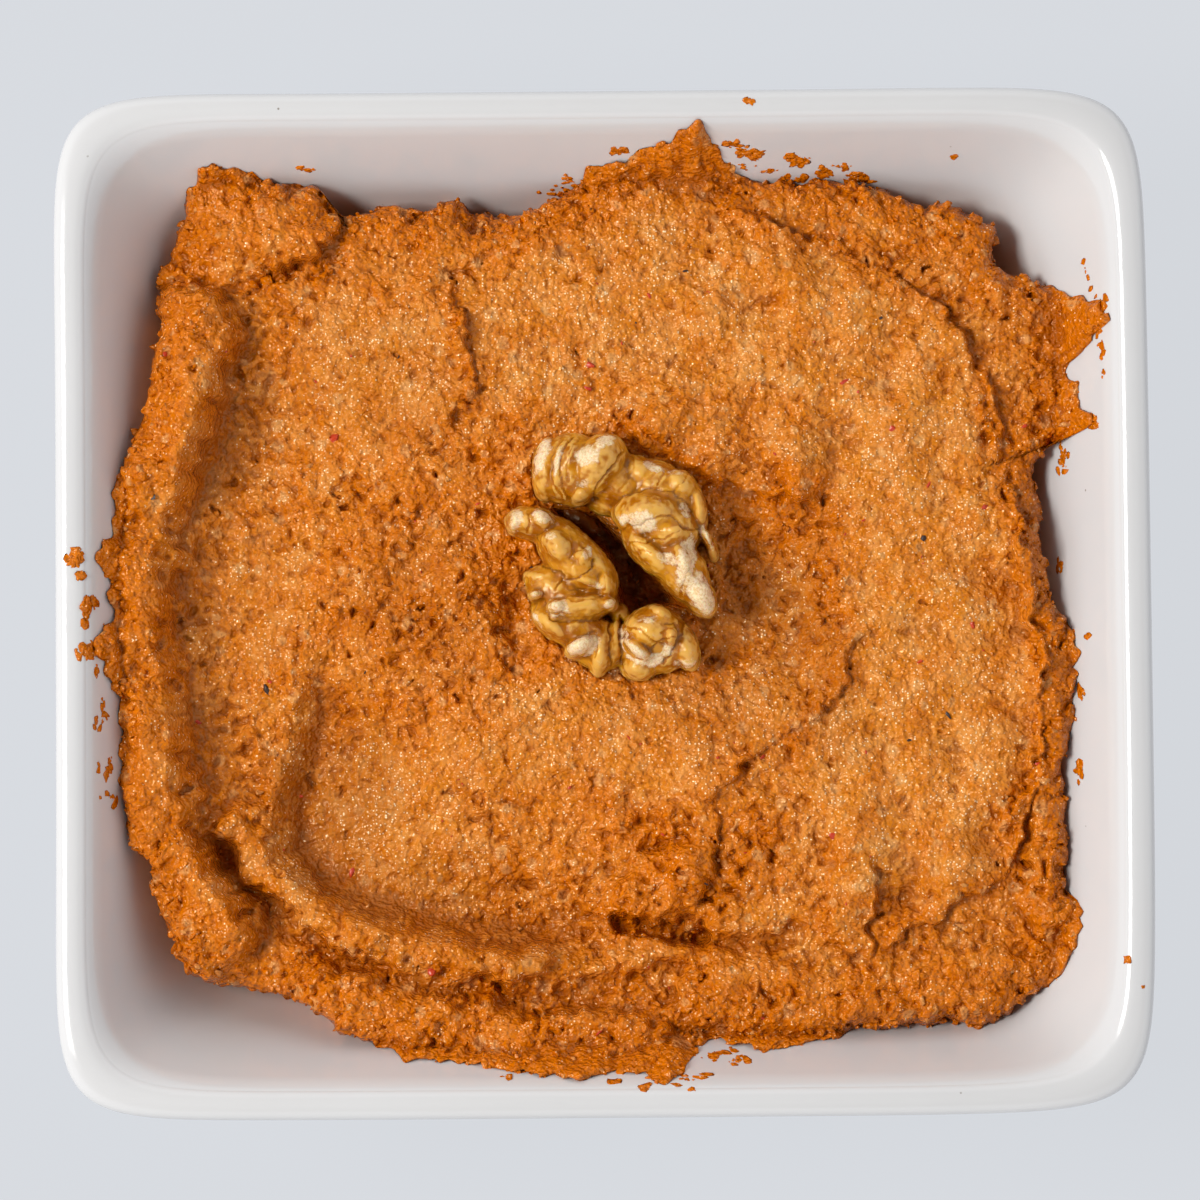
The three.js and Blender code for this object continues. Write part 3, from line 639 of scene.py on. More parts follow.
class Finish:
    """A node material that is built up socket by socket."""

    def __init__(self, name):
        self.material = bpy.data.materials.new(name)
        self.material.use_nodes = True
        self.nodes = self.material.node_tree.nodes
        self.links = self.material.node_tree.links
        self.shader = self.nodes["Principled BSDF"]
        self.place = self.nodes.new("ShaderNodeTexCoord").outputs["Object"]

    def link(self, source, target):
        if hasattr(source, "links"):
            self.links.new(source, target)
        else:
            target.default_value = source

    def node(self, kind, inputs, output=0, **settings):
        made = self.nodes.new(kind)
        for key, value in settings.items():
            setattr(made, key, value)
        for key, value in inputs.items():
            self.link(value, made.inputs[key])
        return made.outputs[output]

    def value(self, name):
        return self.node("ShaderNodeAttribute", {}, output="Fac", attribute_name=name)

    def noise(self, size, detail=2.0, roughness=0.5):
        """Cloudy unevenness in lumps of the given size in millimetres."""
        inputs = {
            "Vector": self.place, "Scale": 1 / (size * MM),
            "Detail": detail, "Roughness": roughness,
        }
        return self.node("ShaderNodeTexNoise", inputs, output="Fac")

    def cells(self, size):
        """Distance to the nearest of scattered points that lie the given size apart, and that
        point's random number from 0 to 1."""
        made = self.nodes.new("ShaderNodeTexVoronoi")
        self.link(self.place, made.inputs["Vector"])
        self.link(1 / (size * MM), made.inputs["Scale"])
        number = self.node("ShaderNodeSeparateColor", {0: made.outputs["Color"]})
        return made.outputs["Distance"], number

    def add(self, first, second):
        return self.node("ShaderNodeMath", {0: first, 1: second}, operation="ADD")

    def times(self, first, second):
        return self.node("ShaderNodeMath", {0: first, 1: second}, operation="MULTIPLY")

    def ramp(self, value, low, high, to_low=0.0, to_high=1.0):
        inputs = {0: value, 1: low, 2: high, 3: to_low, 4: to_high}
        return self.node("ShaderNodeMapRange", inputs, interpolation_type="SMOOTHSTEP")

    def blend(self, share, low, high):
        """Mixes two colours."""
        made = self.nodes.new("ShaderNodeMix")
        made.data_type = "RGBA"
        self.link(share, made.inputs["Factor"])
        for target, source in ((made.inputs[6], low), (made.inputs[7], high)):
            self.link((*source, 1) if isinstance(source, tuple) else source, target)
        return made.outputs[2]

    def bump(self, height, depth, under=None):
        """Small relief: height from 0 to 1 stands for depth in millimetres."""
        inputs = {"Height": height, "Distance": depth * MM, "Strength": 1}
        if under is not None:
            inputs["Normal"] = under
        return self.node("ShaderNodeBump", inputs)

    def set(self, **sockets):
        for key, value in sockets.items():
            name = key.replace("_", " ")
            if isinstance(value, tuple) and len(value) == 3 and "Radius" not in name:
                value = (*value, 1)
            self.link(value, self.shader.inputs[name])
        return self.material


def glaze():
    """White glaze: glossy, very slightly wavy, with a few tiny dark specks in it."""
    finish = Finish("white_glaze")
    cloud = finish.noise(22, detail=3)
    white = finish.blend(cloud, GLAZE_SHADED, GLAZE_WHITE)
    speck = finish.ramp(finish.cells(3.4)[0], 0.028, 0.05, 1.0, 0.0)
    rare = finish.ramp(finish.noise(6), 0.6, 0.64)
    colour = finish.blend(finish.times(speck, rare), white, GLAZE_SPECK)
    wavy = finish.bump(finish.noise(9, detail=2), 0.05)
    pored = finish.bump(finish.noise(0.9, detail=2), 0.004, under=wavy)
    return finish.set(
        Base_Color=colour, Normal=pored, IOR=1.5, Coat_Weight=0.5, Coat_Roughness=0.06,
        Roughness=finish.ramp(finish.noise(5), 0.3, 0.7, 0.12, 0.2),
    )


def paste():
    """Coarse orange paste: tan where the spoon smoothed it, deeper orange where it is torn,
    with paler bits of ground nut, painted shade in its hollows, in patches and in the
    kernel's gap, and clusters of tiny painted glints."""
    finish = Finish("orange_dip")
    crumbly = finish.value("crumbly")
    hollow = finish.value("hollow")
    fine = finish.noise(0.7, detail=1)
    patch = finish.ramp(finish.noise(3.2, detail=2, roughness=0.6), 0.38, 0.62)
    base = finish.blend(patch, PASTE_SMOOTHED, PASTE_SMOOTHED_PALE)
    base = finish.blend(crumbly, base, PASTE_TORN)
    deep = finish.ramp(finish.value("tone"), 0.0, 1.0, 0.0, 0.35)
    base = finish.blend(deep, base, PASTE_DEEP_GRAIN)
    base = finish.blend(finish.value("nut"), base, NUT_BIT)
    # painted shade: darker and redder in patches
    base = finish.blend(finish.value("dull"), base, PASTE_PAINTED_PATCH_SHADE)
    # painted shade: darker in the hollows and in the low parts of the fine bump
    dark = finish.add(hollow, finish.ramp(fine, 0.3, 0.48, 0.22, 0.0))
    base = finish.blend(finish.ramp(dark, 0.05, 1.0, 0.0, 0.6), base, PASTE_PAINTED_HOLLOW_SHADE)
    # painted glints lie in clusters, fewer of them where the paste is torn and none in its hollows
    away, number = finish.cells(0.37)
    away = finish.add(away, finish.times(fine, -0.25))
    open_to_light = finish.ramp(hollow, 0.05, 0.4, 1.0, 0.0)
    painted_glint = finish.times(finish.ramp(away, 0.07, 0.2, 1.0, 0.0), open_to_light)
    number = finish.add(number, finish.times(patch, 0.36))
    number = finish.add(number, finish.times(crumbly, -0.4))
    base = finish.blend(finish.ramp(number, 0.34, 0.08, 0.0, 0.4), base, PASTE_DARK_FLECK)
    painted_glint = finish.times(painted_glint, finish.ramp(number, 0.6, 0.9))
    base = finish.blend(painted_glint, base, PASTE_PAINTED_GLINT)
    # painted shade: nearly black in the kernel's gap
    colour = finish.blend(finish.ramp(hollow, 1.0, 1.6, 0.0, 0.9), base, PASTE_PAINTED_GAP_SHADE)
    return finish.set(
        Base_Color=colour, Normal=finish.bump(fine, 0.7), IOR=1.47, Specular_IOR_Level=0.5,
        Specular_Tint=(1, 0.84, 0.55), Roughness=0.14,
    )


def kernel_skin():
    """Amber skin of a walnut kernel: painted shade in its folds and at its foot, olive low
    down, with brown seams and pale fibrous flesh where it is scuffed."""
    finish = Finish("walnut_skin")
    low = finish.value("low")
    hollow = finish.value("hollow")
    cloud = finish.noise(2.6, detail=3)
    veins = finish.noise(0.9, detail=4, roughness=0.65)
    fibres = finish.noise(0.28, detail=3, roughness=0.7)
    skin = finish.blend(finish.ramp(cloud, 0.38, 0.62), SKIN_DARK_AMBER, SKIN_AMBER)
    for share, colour in (
        (finish.ramp(veins, 0.52, 0.66, 0.0, 0.3), SKIN_VEIN),
        (finish.ramp(low, 0.25, 0.75, 0.0, 0.9), SKIN_OLIVE),
        (finish.ramp(hollow, -0.15, -0.9, 0.0, 0.65), SKIN_CREST),
        # painted shade: darker in the folds, nearly black deep in them and at the foot
        (finish.ramp(hollow, 0.1, 0.8, 0.0, 0.6), SKIN_PAINTED_FOLD_SHADE),
        (finish.ramp(hollow, 0.7, 1.0, 0.0, 0.4), SKIN_PAINTED_DEEP_FOLD_SHADE),
        (finish.ramp(low, 0.85, 1.0), SKIN_PAINTED_FOOT_SHADE),
    ):
        skin = finish.blend(share, skin, colour)
    flaky = finish.add(finish.value("scuff"), finish.ramp(veins, 0.3, 0.7, -0.34, 0.34))
    flaky = finish.ramp(flaky, 0.15, 0.9)
    flesh = finish.blend(finish.ramp(fibres, 0.35, 0.62), FLESH_TAN, FLESH_PALE)
    colour = finish.blend(flaky, skin, flesh)
    seam = finish.ramp(finish.value("seam"), 0.3, 1.0, 0.0, 0.5)
    colour = finish.blend(seam, colour, SKIN_SEAM)
    wrinkled = finish.bump(veins, 0.1)
    raised = finish.bump(finish.times(flaky, fibres), 0.16, under=wrinkled)
    return finish.set(
        Base_Color=colour, Normal=raised, IOR=1.48, Specular_IOR_Level=0.5,
        Specular_Tint=(1, 0.88, 0.66), Roughness=finish.ramp(flaky, 0.0, 1.0, 0.16, 0.5),
        Subsurface_Weight=0.3, Subsurface_Radius=(0.0026, 0.0013, 0.0003),
        Subsurface_Scale=1.0,
    )


def floor_finish():
    """Pale board that glows a little, so that the dish's shadow on it stays faint."""
    finish = Finish("pale_floor")
    soft = finish.noise(60, detail=2)
    return finish.set(
        Base_Color=finish.blend(soft, FLOOR_GREY, FLOOR_PALE_GREY), Roughness=0.9,
        Emission_Color=FLOOR_GLOW, Emission_Strength=FLOOR_GLOW_STRENGTH, Specular_IOR_Level=0.0,
    )


def small_bit(name, size, dark, bright, dull, glossy):
    """A cloudy finish for small bits, from dark and dull to bright and glossy."""
    finish = Finish(name)
    cloud = finish.noise(size, detail=2)
    return finish.set(
        Base_Color=finish.blend(cloud, dark, bright), Normal=finish.bump(cloud, 0.15),
        Roughness=finish.ramp(cloud, 0, 1, dull, glossy),
    )


def pepper_flesh():
    """Red pepper, a little uneven."""
    return small_bit("red_pepper", 0.8, PEPPER_DARK_RED, PEPPER_RED, 0.35, 0.2)


def burnt_skin():
    """Nearly black burnt skin of a pepper or a nut."""
    return small_bit("burnt_skin", 0.5, BURNT_BLACK, BURNT_BROWN, 0.5, 0.3)


# ---------------------------------------------------------------- the dish


def squareness(half):
    rise = np.clip((half - FLOOR_HALF) / (HALF_LENGTH - FLOOR_HALF), 0, 1)
    return mix(FLOOR_SQUARENESS, RIM_SQUARENESS, rise)


def square_reach(x, y, power):
    return (np.abs(x) ** power + np.abs(y) ** power) ** (1 / power)


def inner_wall():
    """The inner wall from the flat floor up to the rim: half length against height."""
    start = np.array((FLOOR_HALF, FLOOR_THICKNESS))
    end = (RIM_INSIDE, DISH_HEIGHT - 0.6 * RIM_ROLL)
    return bezier(start, start + INNER_BEND[0], start + INNER_BEND[1], end, WALL_STEPS)


def rim_top():
    """The rim's rounded top, from its inside edge over to under its outside edge."""
    turns = np.radians(np.linspace(152, -20, RIM_STEPS))
    across = np.sign(np.cos(turns)) * np.abs(np.cos(turns)) ** RIM_FLATNESS
    middle = HALF_LENGTH - RIM_WIDTH / 2
    heights = DISH_HEIGHT - RIM_ROLL * (1 - np.sin(turns))
    return np.column_stack((middle + RIM_WIDTH / 2 * across, heights))


def outer_wall():
    """The outer wall from under the rim down to the foot."""
    top = np.array((HALF_LENGTH - RIM_TUCK, DISH_HEIGHT - 1.7 * RIM_ROLL))
    foot = np.array((FOOT_HALF, FOOT_HEIGHT))
    under_rim = np.array((HALF_LENGTH, DISH_HEIGHT)) + OUTER_BEND[1]
    return bezier(top, under_rim, foot + OUTER_BEND[0], foot, WALL_STEPS)


def foot_ring():
    inner = FOOT_HALF - FOOT_WIDTH
    edge = FOOT_HALF - FOOT_EDGE
    return np.array((
        (FOOT_HALF - 0.1, 0.5), (edge + 0.2, 0.12), (edge - 0.2, 0), (inner + 0.3, 0),
        (inner - 0.2, 0.1), (inner - FOOT_RECESS + 0.2, FOOT_RECESS - 0.12),
        (inner - FOOT_RECESS - 0.5, FOOT_RECESS), (24, FOOT_RECESS), (12, FOOT_RECESS),
        (0, FOOT_RECESS),
    ))


def dish_profile():
    floor = np.array(((0, FLOOR_THICKNESS), (12, FLOOR_THICKNESS), (24, FLOOR_THICKNESS)))
    return np.concatenate((floor, inner_wall(), rim_top(), outer_wall(), foot_ring()))


def unevenness(turn, half):
    """How far a ring of the dish stands out or in at a turn, as if it was made by hand."""
    wobble = 0.0016 * np.sin(3 * turn + 0.8) + 0.0012 * np.sin(5 * turn + 2.1)
    return 1 + wobble * np.clip(half / HALF_LENGTH, 0, 1) - 0.0012


def squared_off(points):
    """Turns round rings into the dish's rounded squares, a little uneven."""
    half = np.hypot(points[:, 0], points[:, 1])
    safe = np.where(half < 1e-6, 1, half)
    share = points[:, :2] / safe[:, None]
    crowded = np.sign(share) * np.abs(share) ** CORNER_CROWDING
    reach = square_reach(crowded[:, 0], crowded[:, 1], squareness(half))
    turn = np.arctan2(share[:, 1], share[:, 0])
    scale = np.where(half < 1e-6, 0, half / reach) * unevenness(turn, half)
    x = scale * crowded[:, 0]
    y = scale * crowded[:, 1] * WIDTH_RATIO
    return np.column_stack((x, y, points[:, 2]))


def wall_height(x, y):
    """Height of the dish's inner wall and rim over points of the plan."""
    across = y / WIDTH_RATIO
    half = np.maximum(np.abs(x), np.abs(across))
    spread = 1 / CORNER_CROWDING
    turn = np.arctan2(np.sign(across) * np.abs(across) ** spread, np.sign(x) * np.abs(x) ** spread)
    for _ in range(5):
        half = square_reach(x, across, squareness(half)) / unevenness(turn, half)
    wall = np.concatenate((inner_wall(), rim_top()[1:RIM_STEPS // 2]))
    return np.interp(half, wall[:, 0], wall[:, 1])


def make_dish():
    bm = bmesh.new()
    corners = [bm.verts.new((half, 0, height)) for half, height in dish_profile()]
    edges = [bm.edges.new(pair) for pair in zip(corners, corners[1:])]
    bmesh.ops.spin(
        bm, geom=[*corners, *edges], cent=(0, 0, 0), axis=(0, 0, 1), angle=2 * math.pi,
        steps=DISH_SIDES, use_merge=True, use_normal_flip=False, use_duplicate=False,
    )
    bmesh.ops.remove_doubles(bm, verts=bm.verts, dist=1e-4)
    bmesh.ops.recalc_face_normals(bm, faces=bm.faces)
    mesh = bm_to_mesh(bm, "bowl")
    set_points(mesh, squared_off(get_points(mesh)) * MM)
    return finish_piece("glazed_bowl", mesh, glaze(), "white_glaze", "bowl")


# ---------------------------------------------------------------- the dip


def torn_outline():
    """The dip's torn edge as a fine ring of points: the smooth curve, pushed in and out."""
    curve = closed_curve(DIP_EDGE, 40)
    ahead = np.roll(curve, -1, axis=0) - np.roll(curve, 1, axis=0)
    out = np.column_stack((-ahead[:, 1], ahead[:, 0]))
    out /= np.hypot(*out.T)[:, None]
    push = 0.75 * rough_waves(*curve.T, 3.6, 81) + 0.45 * waves(*curve.T, 1.3, 85)
    return curve + out * push[:, None]


def edge_reaches(turns):
    """How far the dip's torn edge and its smoothed outline lie from the middle."""
    curve = torn_outline()
    angle = np.arctan2(curve[:, 1], curve[:, 0])
    reach = np.hypot(curve[:, 0], curve[:, 1])
    round_trip = 2 * math.pi
    index = np.floor((angle + math.pi) / round_trip * EDGE_BINS).astype(int) % EDGE_BINS
    furthest = np.zeros(EDGE_BINS)
    np.maximum.at(furthest, index, reach)
    filled = furthest > 0
    middles = (np.arange(EDGE_BINS) + 0.5) / EDGE_BINS * round_trip - math.pi
    furthest = np.interp(middles, middles[filled], furthest[filled], period=round_trip)
    weights = np.hanning(2 * EDGE_BLUR + 1)
    padded = np.concatenate((furthest[-EDGE_BLUR:], furthest, furthest[:EDGE_BLUR]))
    smooth = np.convolve(padded, weights / weights.sum(), mode="valid")
    return [np.interp(turns, middles, edge, period=round_trip) for edge in (furthest, smooth)]


def crumbliness(x, y, inward):
    """From 0 where the spoon smoothed the dip to 1 where it is torn."""
    soft = np.full(np.shape(x), USUAL_CRUMBLINESS)
    bent_x, bent_y = bent(x, y, CRUMBLY_BEND)
    for _, middle, radius, level in CRUMBLY:
        cx, cy = on_dip(*middle)
        rx, ry = radius[0] / DIP_PIXELS, radius[1] / DIP_PIXELS
        share = np.exp(-(((bent_x - cx) / rx) ** 4 + ((bent_y - cy) / ry) ** 4))
        soft = mix(soft, level, share)
    for _, drop, _, path in TORN_EDGES:
        close = np.exp(-((path_distance(bent_x, bent_y, path) / TEAR_REACH) ** 2))
        soft = mix(soft, 1, close * min(drop, 1) * 0.8)
    soft = mix(soft, EDGE_CRUMBLINESS, 1 - smoothstep(inward, 0.8, 3.5))
    return np.clip(soft + 0.14 * rough_waves(x, y, 4, 73), 0, 1)


def painted_patch_shade(x, y):
    """How much darker and redder the paste is painted in patches, as painted shade."""
    dull = np.zeros(np.shape(x))
    bent_x, bent_y = bent(x, y, PATCH_SHADE_BEND)
    for middle, radius, share in PAINTED_SHADE_PATCHES:
        cx, cy = on_dip(*middle)
        rx, ry = radius[0] / DIP_PIXELS, radius[1] / DIP_PIXELS
        away = np.hypot((bent_x - cx) / rx, (bent_y - cy) / ry)
        dull = np.maximum(dull, share * (1 - smoothstep(away, 0.5, 1.2)))
    return dull


def large_relief(x, y):
    """Banks, tears, scoops and mounds, with ragged edges."""
    ragged_x = x + 1.1 * rough_waves(x, y, 4.2, 11) + 0.35 * waves(x, y, 1.2, 15)
    ragged_y = y + 1.1 * rough_waves(x, y, 4.2, 21) + 0.35 * waves(x, y, 1.2, 25)
    patchy = np.clip(0.75 + 0.9 * waves(x, y, 6.5, 27), 0.1, 1.5)
    z = np.full(np.shape(x), float(DIP_LEVEL))
    for _, height, crest, foot, path in BANDS:
        rise = 1 - smoothstep(path_distance(ragged_x, ragged_y, path), crest, foot)
        z += height * rise * (0.65 + 0.4 * patchy)
    for _, drop, fade, path in TORN_EDGES:
        away, beyond = beside_path(ragged_x, ragged_y, path)
        fading = np.exp(-((away / fade) ** 2) - (beyond / TEAR_RUN_OUT) ** 2)
        z += patchy * drop * smoothstep(away, -TEAR_WIDTH, TEAR_WIDTH) * fading
    for _, depth, bank, reach, path in SCOOPS:
        away, beyond = beside_path(x, y, path)
        fading = np.exp(-((away / reach) ** 2) - (beyond / SCOOP_RUN_OUT) ** 2)
        z -= depth * smoothstep(away, 0, bank) * fading
    for _, middle, radius, height in MOUNDS:
        dx, dy = (ragged_x - middle[0]) / radius[0], (ragged_y - middle[1]) / radius[1]
        z += height * np.exp(-2 * (dx**2 + dy**2))
    return z + 0.45 * waves(x, y, 11, 31)


def near_ellipse(x, y, column, row, along, across, turn):
    """Distance from the middle of a turned ellipse, which is 1 on its outline."""
    cx, cy = on_dip(column, row, KERNEL_PIXELS)
    a, b = along / KERNEL_PIXELS, across / KERNEL_PIXELS
    c, s = math.cos(math.radians(turn)), math.sin(math.radians(turn))
    dx, dy = x - cx, y - cy
    return np.hypot((dx * c + dy * s) / a, (dy * c - dx * s) / b)


def kernel_nearness(x, y):
    """Distance from the kernel's outline, under 0 inside it."""
    nearest = np.full(np.shape(x), 1e9)
    for *spot, _ in KERNEL_BULGES:
        narrow = min(spot[2:4]) / KERNEL_PIXELS
        nearest = np.minimum(nearest, (near_ellipse(x, y, *spot) - 1) * narrow)
    return nearest


def spoon_marks(x, y):
    """Fine furrows that the spoon drew in arcs round the middle."""
    bent = 6 * waves(x, y, 26, 41)
    away = np.hypot(x + 4, y - 6) + bent
    turn = np.arctan2(y - 6, x + 4)
    return waves(away, turn * 30, 1.7, 42) + 0.6 * waves(away, turn * 22, 0.9, 43)


def small_relief(x, y, crumbly):
    """Height of lumps with creases between them, grains and pits, and how much each point's
    grain differs in tone from the others."""
    bent_x, bent_y = bent(x, y, *GRAIN_BENDS)
    relief = mix(0.14, 0.02, crumbly) * spoon_marks(x, y)
    wild = np.clip(0.95 + 1.1 * waves(x, y, 5.5, 59), 0.35, 1.7)
    for size, smooth, torn, crease in LUMPS:
        swell = waves(bent_x, bent_y, size, 60 + round(size))
        swell = mix(swell, np.abs(swell) - 0.32, crease)
        relief += mix(smooth, torn * wild, crumbly) * swell
    grain, tone = grains(bent_x, bent_y, GRAIN_SIZE, 56)
    dome = np.sqrt(np.clip(1 - (grain / 0.75) ** 2, 0, 1)) * (0.3 + tone)
    relief += mix(0.06, 0.18, crumbly) * (dome - 0.5)
    pit, pit_number = grains(*bent(x, y, *GRAIN_BENDS, PIT_BEND), PIT_SIZE, 58)
    chance = mix(0.03, 0.2, crumbly)
    wide = 0.1 + 0.2 * (pit_number / chance)
    pits = (pit_number < chance) * (1 - smoothstep(pit, 0.2 * wide, wide))
    return relief - mix(0.5, 1.1, crumbly) * pits, tone


def dip_surface(x, y, inward, crumbly):
    """Height of the dip's surface, and the tones of its grains."""
    relief, tone = small_relief(x, y, crumbly)
    drop = np.clip(1 - inward / SHOULDER_WIDTH, 0, 1)
    rounding = np.sqrt(1 - drop * drop)
    z = large_relief(x, y) + relief - DIP_SHOULDER * (1 - rounding)
    smear = SMEAR_THICKNESS * (1.6 + 0.9 * rough_waves(x, y, 2.6, 61)) * rounding
    z = np.maximum(z, wall_height(x, y) + np.maximum(smear, 0.1))
    near = kernel_nearness(x, y)
    pressed = mix(DIP_LEVEL - PRESS_DEPTH, z, smoothstep(near, -1.6, 0.4))
    pressed = pressed - 0.5 * np.exp(-np.clip(near, 0, 9) / 0.7) * (0.5 + waves(x, y, 2.2, 62))
    gap = [on_dip(column, row, KERNEL_PIXELS) for column, row in LOBE_GAP]
    deep = smoothstep(inside(x, y, gap), -0.4, 1.2)
    bottom = DIP_LEVEL - GAP_DEPTH + 0.6 * rough_waves(x, y, 2.4, 64)
    return mix(pressed, np.minimum(pressed, bottom), deep), tone


def blurred(field, reach):
    """A field averaged over square neighbourhoods, three times over."""
    for _ in range(3):
        for axis in (0, 1):
            pad = [(reach + 1, reach) if axis == side else (0, 0) for side in (0, 1)]
            total = np.cumsum(np.pad(field, pad, mode="edge"), axis=axis)
            span = field.shape[axis]
            high = np.take(total, np.arange(span) + 2 * reach + 1, axis=axis)
            field = (high - np.take(total, np.arange(span), axis=axis)) / (2 * reach + 1)
    return field


class DipTop:
    """The dip's surface as square arrays over a grid that fills its torn outline."""

    def __init__(self):
        steps = np.linspace(-1, 1, 2 * QUARTER_CELLS + 1)
        u, v = np.meshgrid(steps, steps)
        out = np.maximum(np.abs(u), np.abs(v))
        self.turn = np.arctan2(v, u)
        torn, smooth = edge_reaches(self.turn)
        reach = out * mix(smooth, torn, out**8)
        self.x, self.y = np.cos(self.turn) * reach, np.sin(self.turn) * reach
        self.inward = (1 - out) * smooth
        near = self.inward < 9
        outline = torn_outline()[::6].tolist()
        self.inward[near] = np.clip(inside(self.x[near], self.y[near], outline), 0, 9)
        self.crumbly = crumbliness(self.x, self.y, self.inward)
        self.z, self.tone = dip_surface(self.x, self.y, self.inward, self.crumbly)
        # how far each point lies under what is round it, nearby, further off and far off,
        # which the paste's colour turns into painted shade in its hollows
        narrow, wide, broad = (blurred(self.z, reach) - self.z for reach in (2, 9, 24))
        shade = 0.5 * narrow / 0.2 + 0.5 * wide / 0.9 + 0.25 * np.clip(broad / 1.3, 0, 1)
        self.hollow = np.clip(shade - 0.12, 0, 1)
        # the deep gap beside the kernel gets a hollow over 1, which paints it nearly black as shade
        sunk = smoothstep(DIP_LEVEL - self.z, 2.4, 6) * (kernel_nearness(self.x, self.y) < 6)
        self.hollow = np.maximum(self.hollow, 1.6 * sunk)
        # painted shade in patches
        self.dull = painted_patch_shade(self.x, self.y)
        mottle = rough_waves(self.x, self.y, 5, 91)
        oily = 0.5 * (1 - smoothstep(self.inward, 2.5, 8))
        self.crumbly = np.clip(self.crumbly + 0.45 * mottle + oily, 0, 1)
        bit, number = grains(*bent(self.x, self.y, NUT_BEND), NUT_SIZE, 94)
        wide = 0.1 + 0.5 * number
        self.nut = (number < NUT_CHANCE) * (1 - smoothstep(bit, 0.7 * wide, wide)) * 0.5
        self.floor = wall_height(self.x, self.y) - INTO_WALL


# Shares of a quarter's size at which the rings of its hidden underside lie.
BOTTOM_RINGS = (0.9, 0.7, 0.5, 0.3, 0.1)


def quarter_block():
    """A fine grid with sides and a bottom, as flat rings that are shaped afterwards. Returns
    the mesh, every corner's column and row in the grid, and its ring, from 0 on top."""
    cells = QUARTER_CELLS + OVERLAP_CELLS
    bm = bmesh.new()
    bmesh.ops.create_grid(bm, x_segments=cells, y_segments=cells, size=cells / 2)
    ring_of = bm.verts.layers.int.new("ring")
    edges = [edge for edge in bm.edges if edge.is_boundary]
    for ring in range(1, SIDE_RINGS + len(BOTTOM_RINGS) + 1):
        made = bmesh.ops.extrude_edge_only(bm, edges=edges)["geom"]
        edges = [item for item in made if isinstance(item, bmesh.types.BMEdge)]
        edges = [edge for edge in edges if edge.is_boundary]
        for edge in edges:
            for corner in edge.verts:
                corner[ring_of] = ring
    bmesh.ops.holes_fill(bm, edges=edges, sides=0)
    bmesh.ops.recalc_face_normals(bm, faces=bm.faces)
    mesh = bm_to_mesh(bm, "dip")
    rings = np.empty(len(mesh.vertices), np.int32)
    mesh.attributes["ring"].data.foreach_get("value", rings)
    mesh.attributes.remove(mesh.attributes["ring"])
    cell = np.rint(get_points(mesh)[:, :2] + cells / 2).astype(int) - OVERLAP_CELLS
    return mesh, cell[:, 0], cell[:, 1], rings


def make_quarter(name, top, block, right, far, material):
    """One quarter of the dip, on the right or the left and on the far or the near side."""
    source, column, row, rings = block
    mesh = source.copy()
    if right != far:
        mesh.flip_normals()
    sink = OVERLAP_SINK * np.clip(-np.minimum(column, row) / OVERLAP_CELLS, 0, 1)
    column = QUARTER_CELLS + column * (1 if right else -1)
    row = QUARTER_CELLS + row * (1 if far else -1)
    x, y, z, floor_z, turn = (
        part[row, column] for part in (top.x, top.y, top.z, top.floor, top.turn)
    )
    z = z - sink
    torn_edge = np.isin(column, (0, 2 * QUARTER_CELLS)) | np.isin(row, (0, 2 * QUARTER_CELLS))
    down = np.clip(rings / SIDE_RINGS, 0, 1)
    bulge = SIDE_BULGE * np.sin(down * math.pi)
    bulge += SIDE_WAVES * waves(turn * 57, rings * 1.3, 1.6, 82)
    side = (rings > 0) & (rings < SIDE_RINGS) & torn_edge
    tuck = np.minimum(side * bulge, np.maximum(z - floor_z, 0) * 0.4)
    x, y = x - np.cos(turn) * tuck, y - np.sin(turn) * tuck
    z = mix(z, floor_z, down)
    middle = [QUARTER_CELLS * 3 // 2 if side else QUARTER_CELLS // 2 for side in (far, right)]
    for number, share in enumerate(BOTTOM_RINGS, SIDE_RINGS + 1):
        at = rings == number
        x[at] = mix(top.x[tuple(middle)], x[at], share)
        y[at] = mix(top.y[tuple(middle)], y[at], share)
        z[at] = wall_height(x[at], y[at]) - INTO_WALL
    set_points(mesh, np.column_stack((x, y, z)) * MM)
    for key in ("crumbly", "tone", "nut", "dull"):
        set_value(mesh, key, getattr(top, key)[row, column])
    # the torn sides get a little painted shade
    set_value(mesh, "hollow", np.where(rings == 0, top.hollow[row, column], SIDE_PAINTED_SHADE))
    return finish_piece(name, mesh, material, "orange_dip", "dip")


def make_dip(top, material):
    block = quarter_block()
    for right, far, name in (
        (False, False, "near_left"), (True, False, "near_right"),
        (False, True, "far_left"), (True, True, "far_right"),
    ):
        make_quarter(f"spread_dip_{name}", top, block, right, far, material)


# ---------------------------------------------------------------- loose bits of the dip


def round_lump(fineness):
    """A small ball's corners, and its faces."""
    bm = bmesh.new()
    bmesh.ops.create_icosphere(bm, subdivisions=fineness, radius=1)
    corners = np.array([corner.co[:] for corner in bm.verts])
    faces = np.array([[corner.index for corner in face.verts] for face in bm.faces])
    bm.free()
    return corners, faces


def turned(points, turns):
    """Turns each group of points by its own quaternion."""
    w, axis = turns[:, None, :1], turns[:, None, 1:]
    twice = 2 * np.cross(np.broadcast_to(axis, points.shape), points)
    return points + w * twice + np.cross(np.broadcast_to(axis, points.shape), twice)


def random_turns(random, count, upright=None):
    turns = random.normal(size=(count, 4))
    if upright is not None:
        turns[:, 1:3] *= upright
    return turns / np.linalg.norm(turns, axis=1)[:, None]


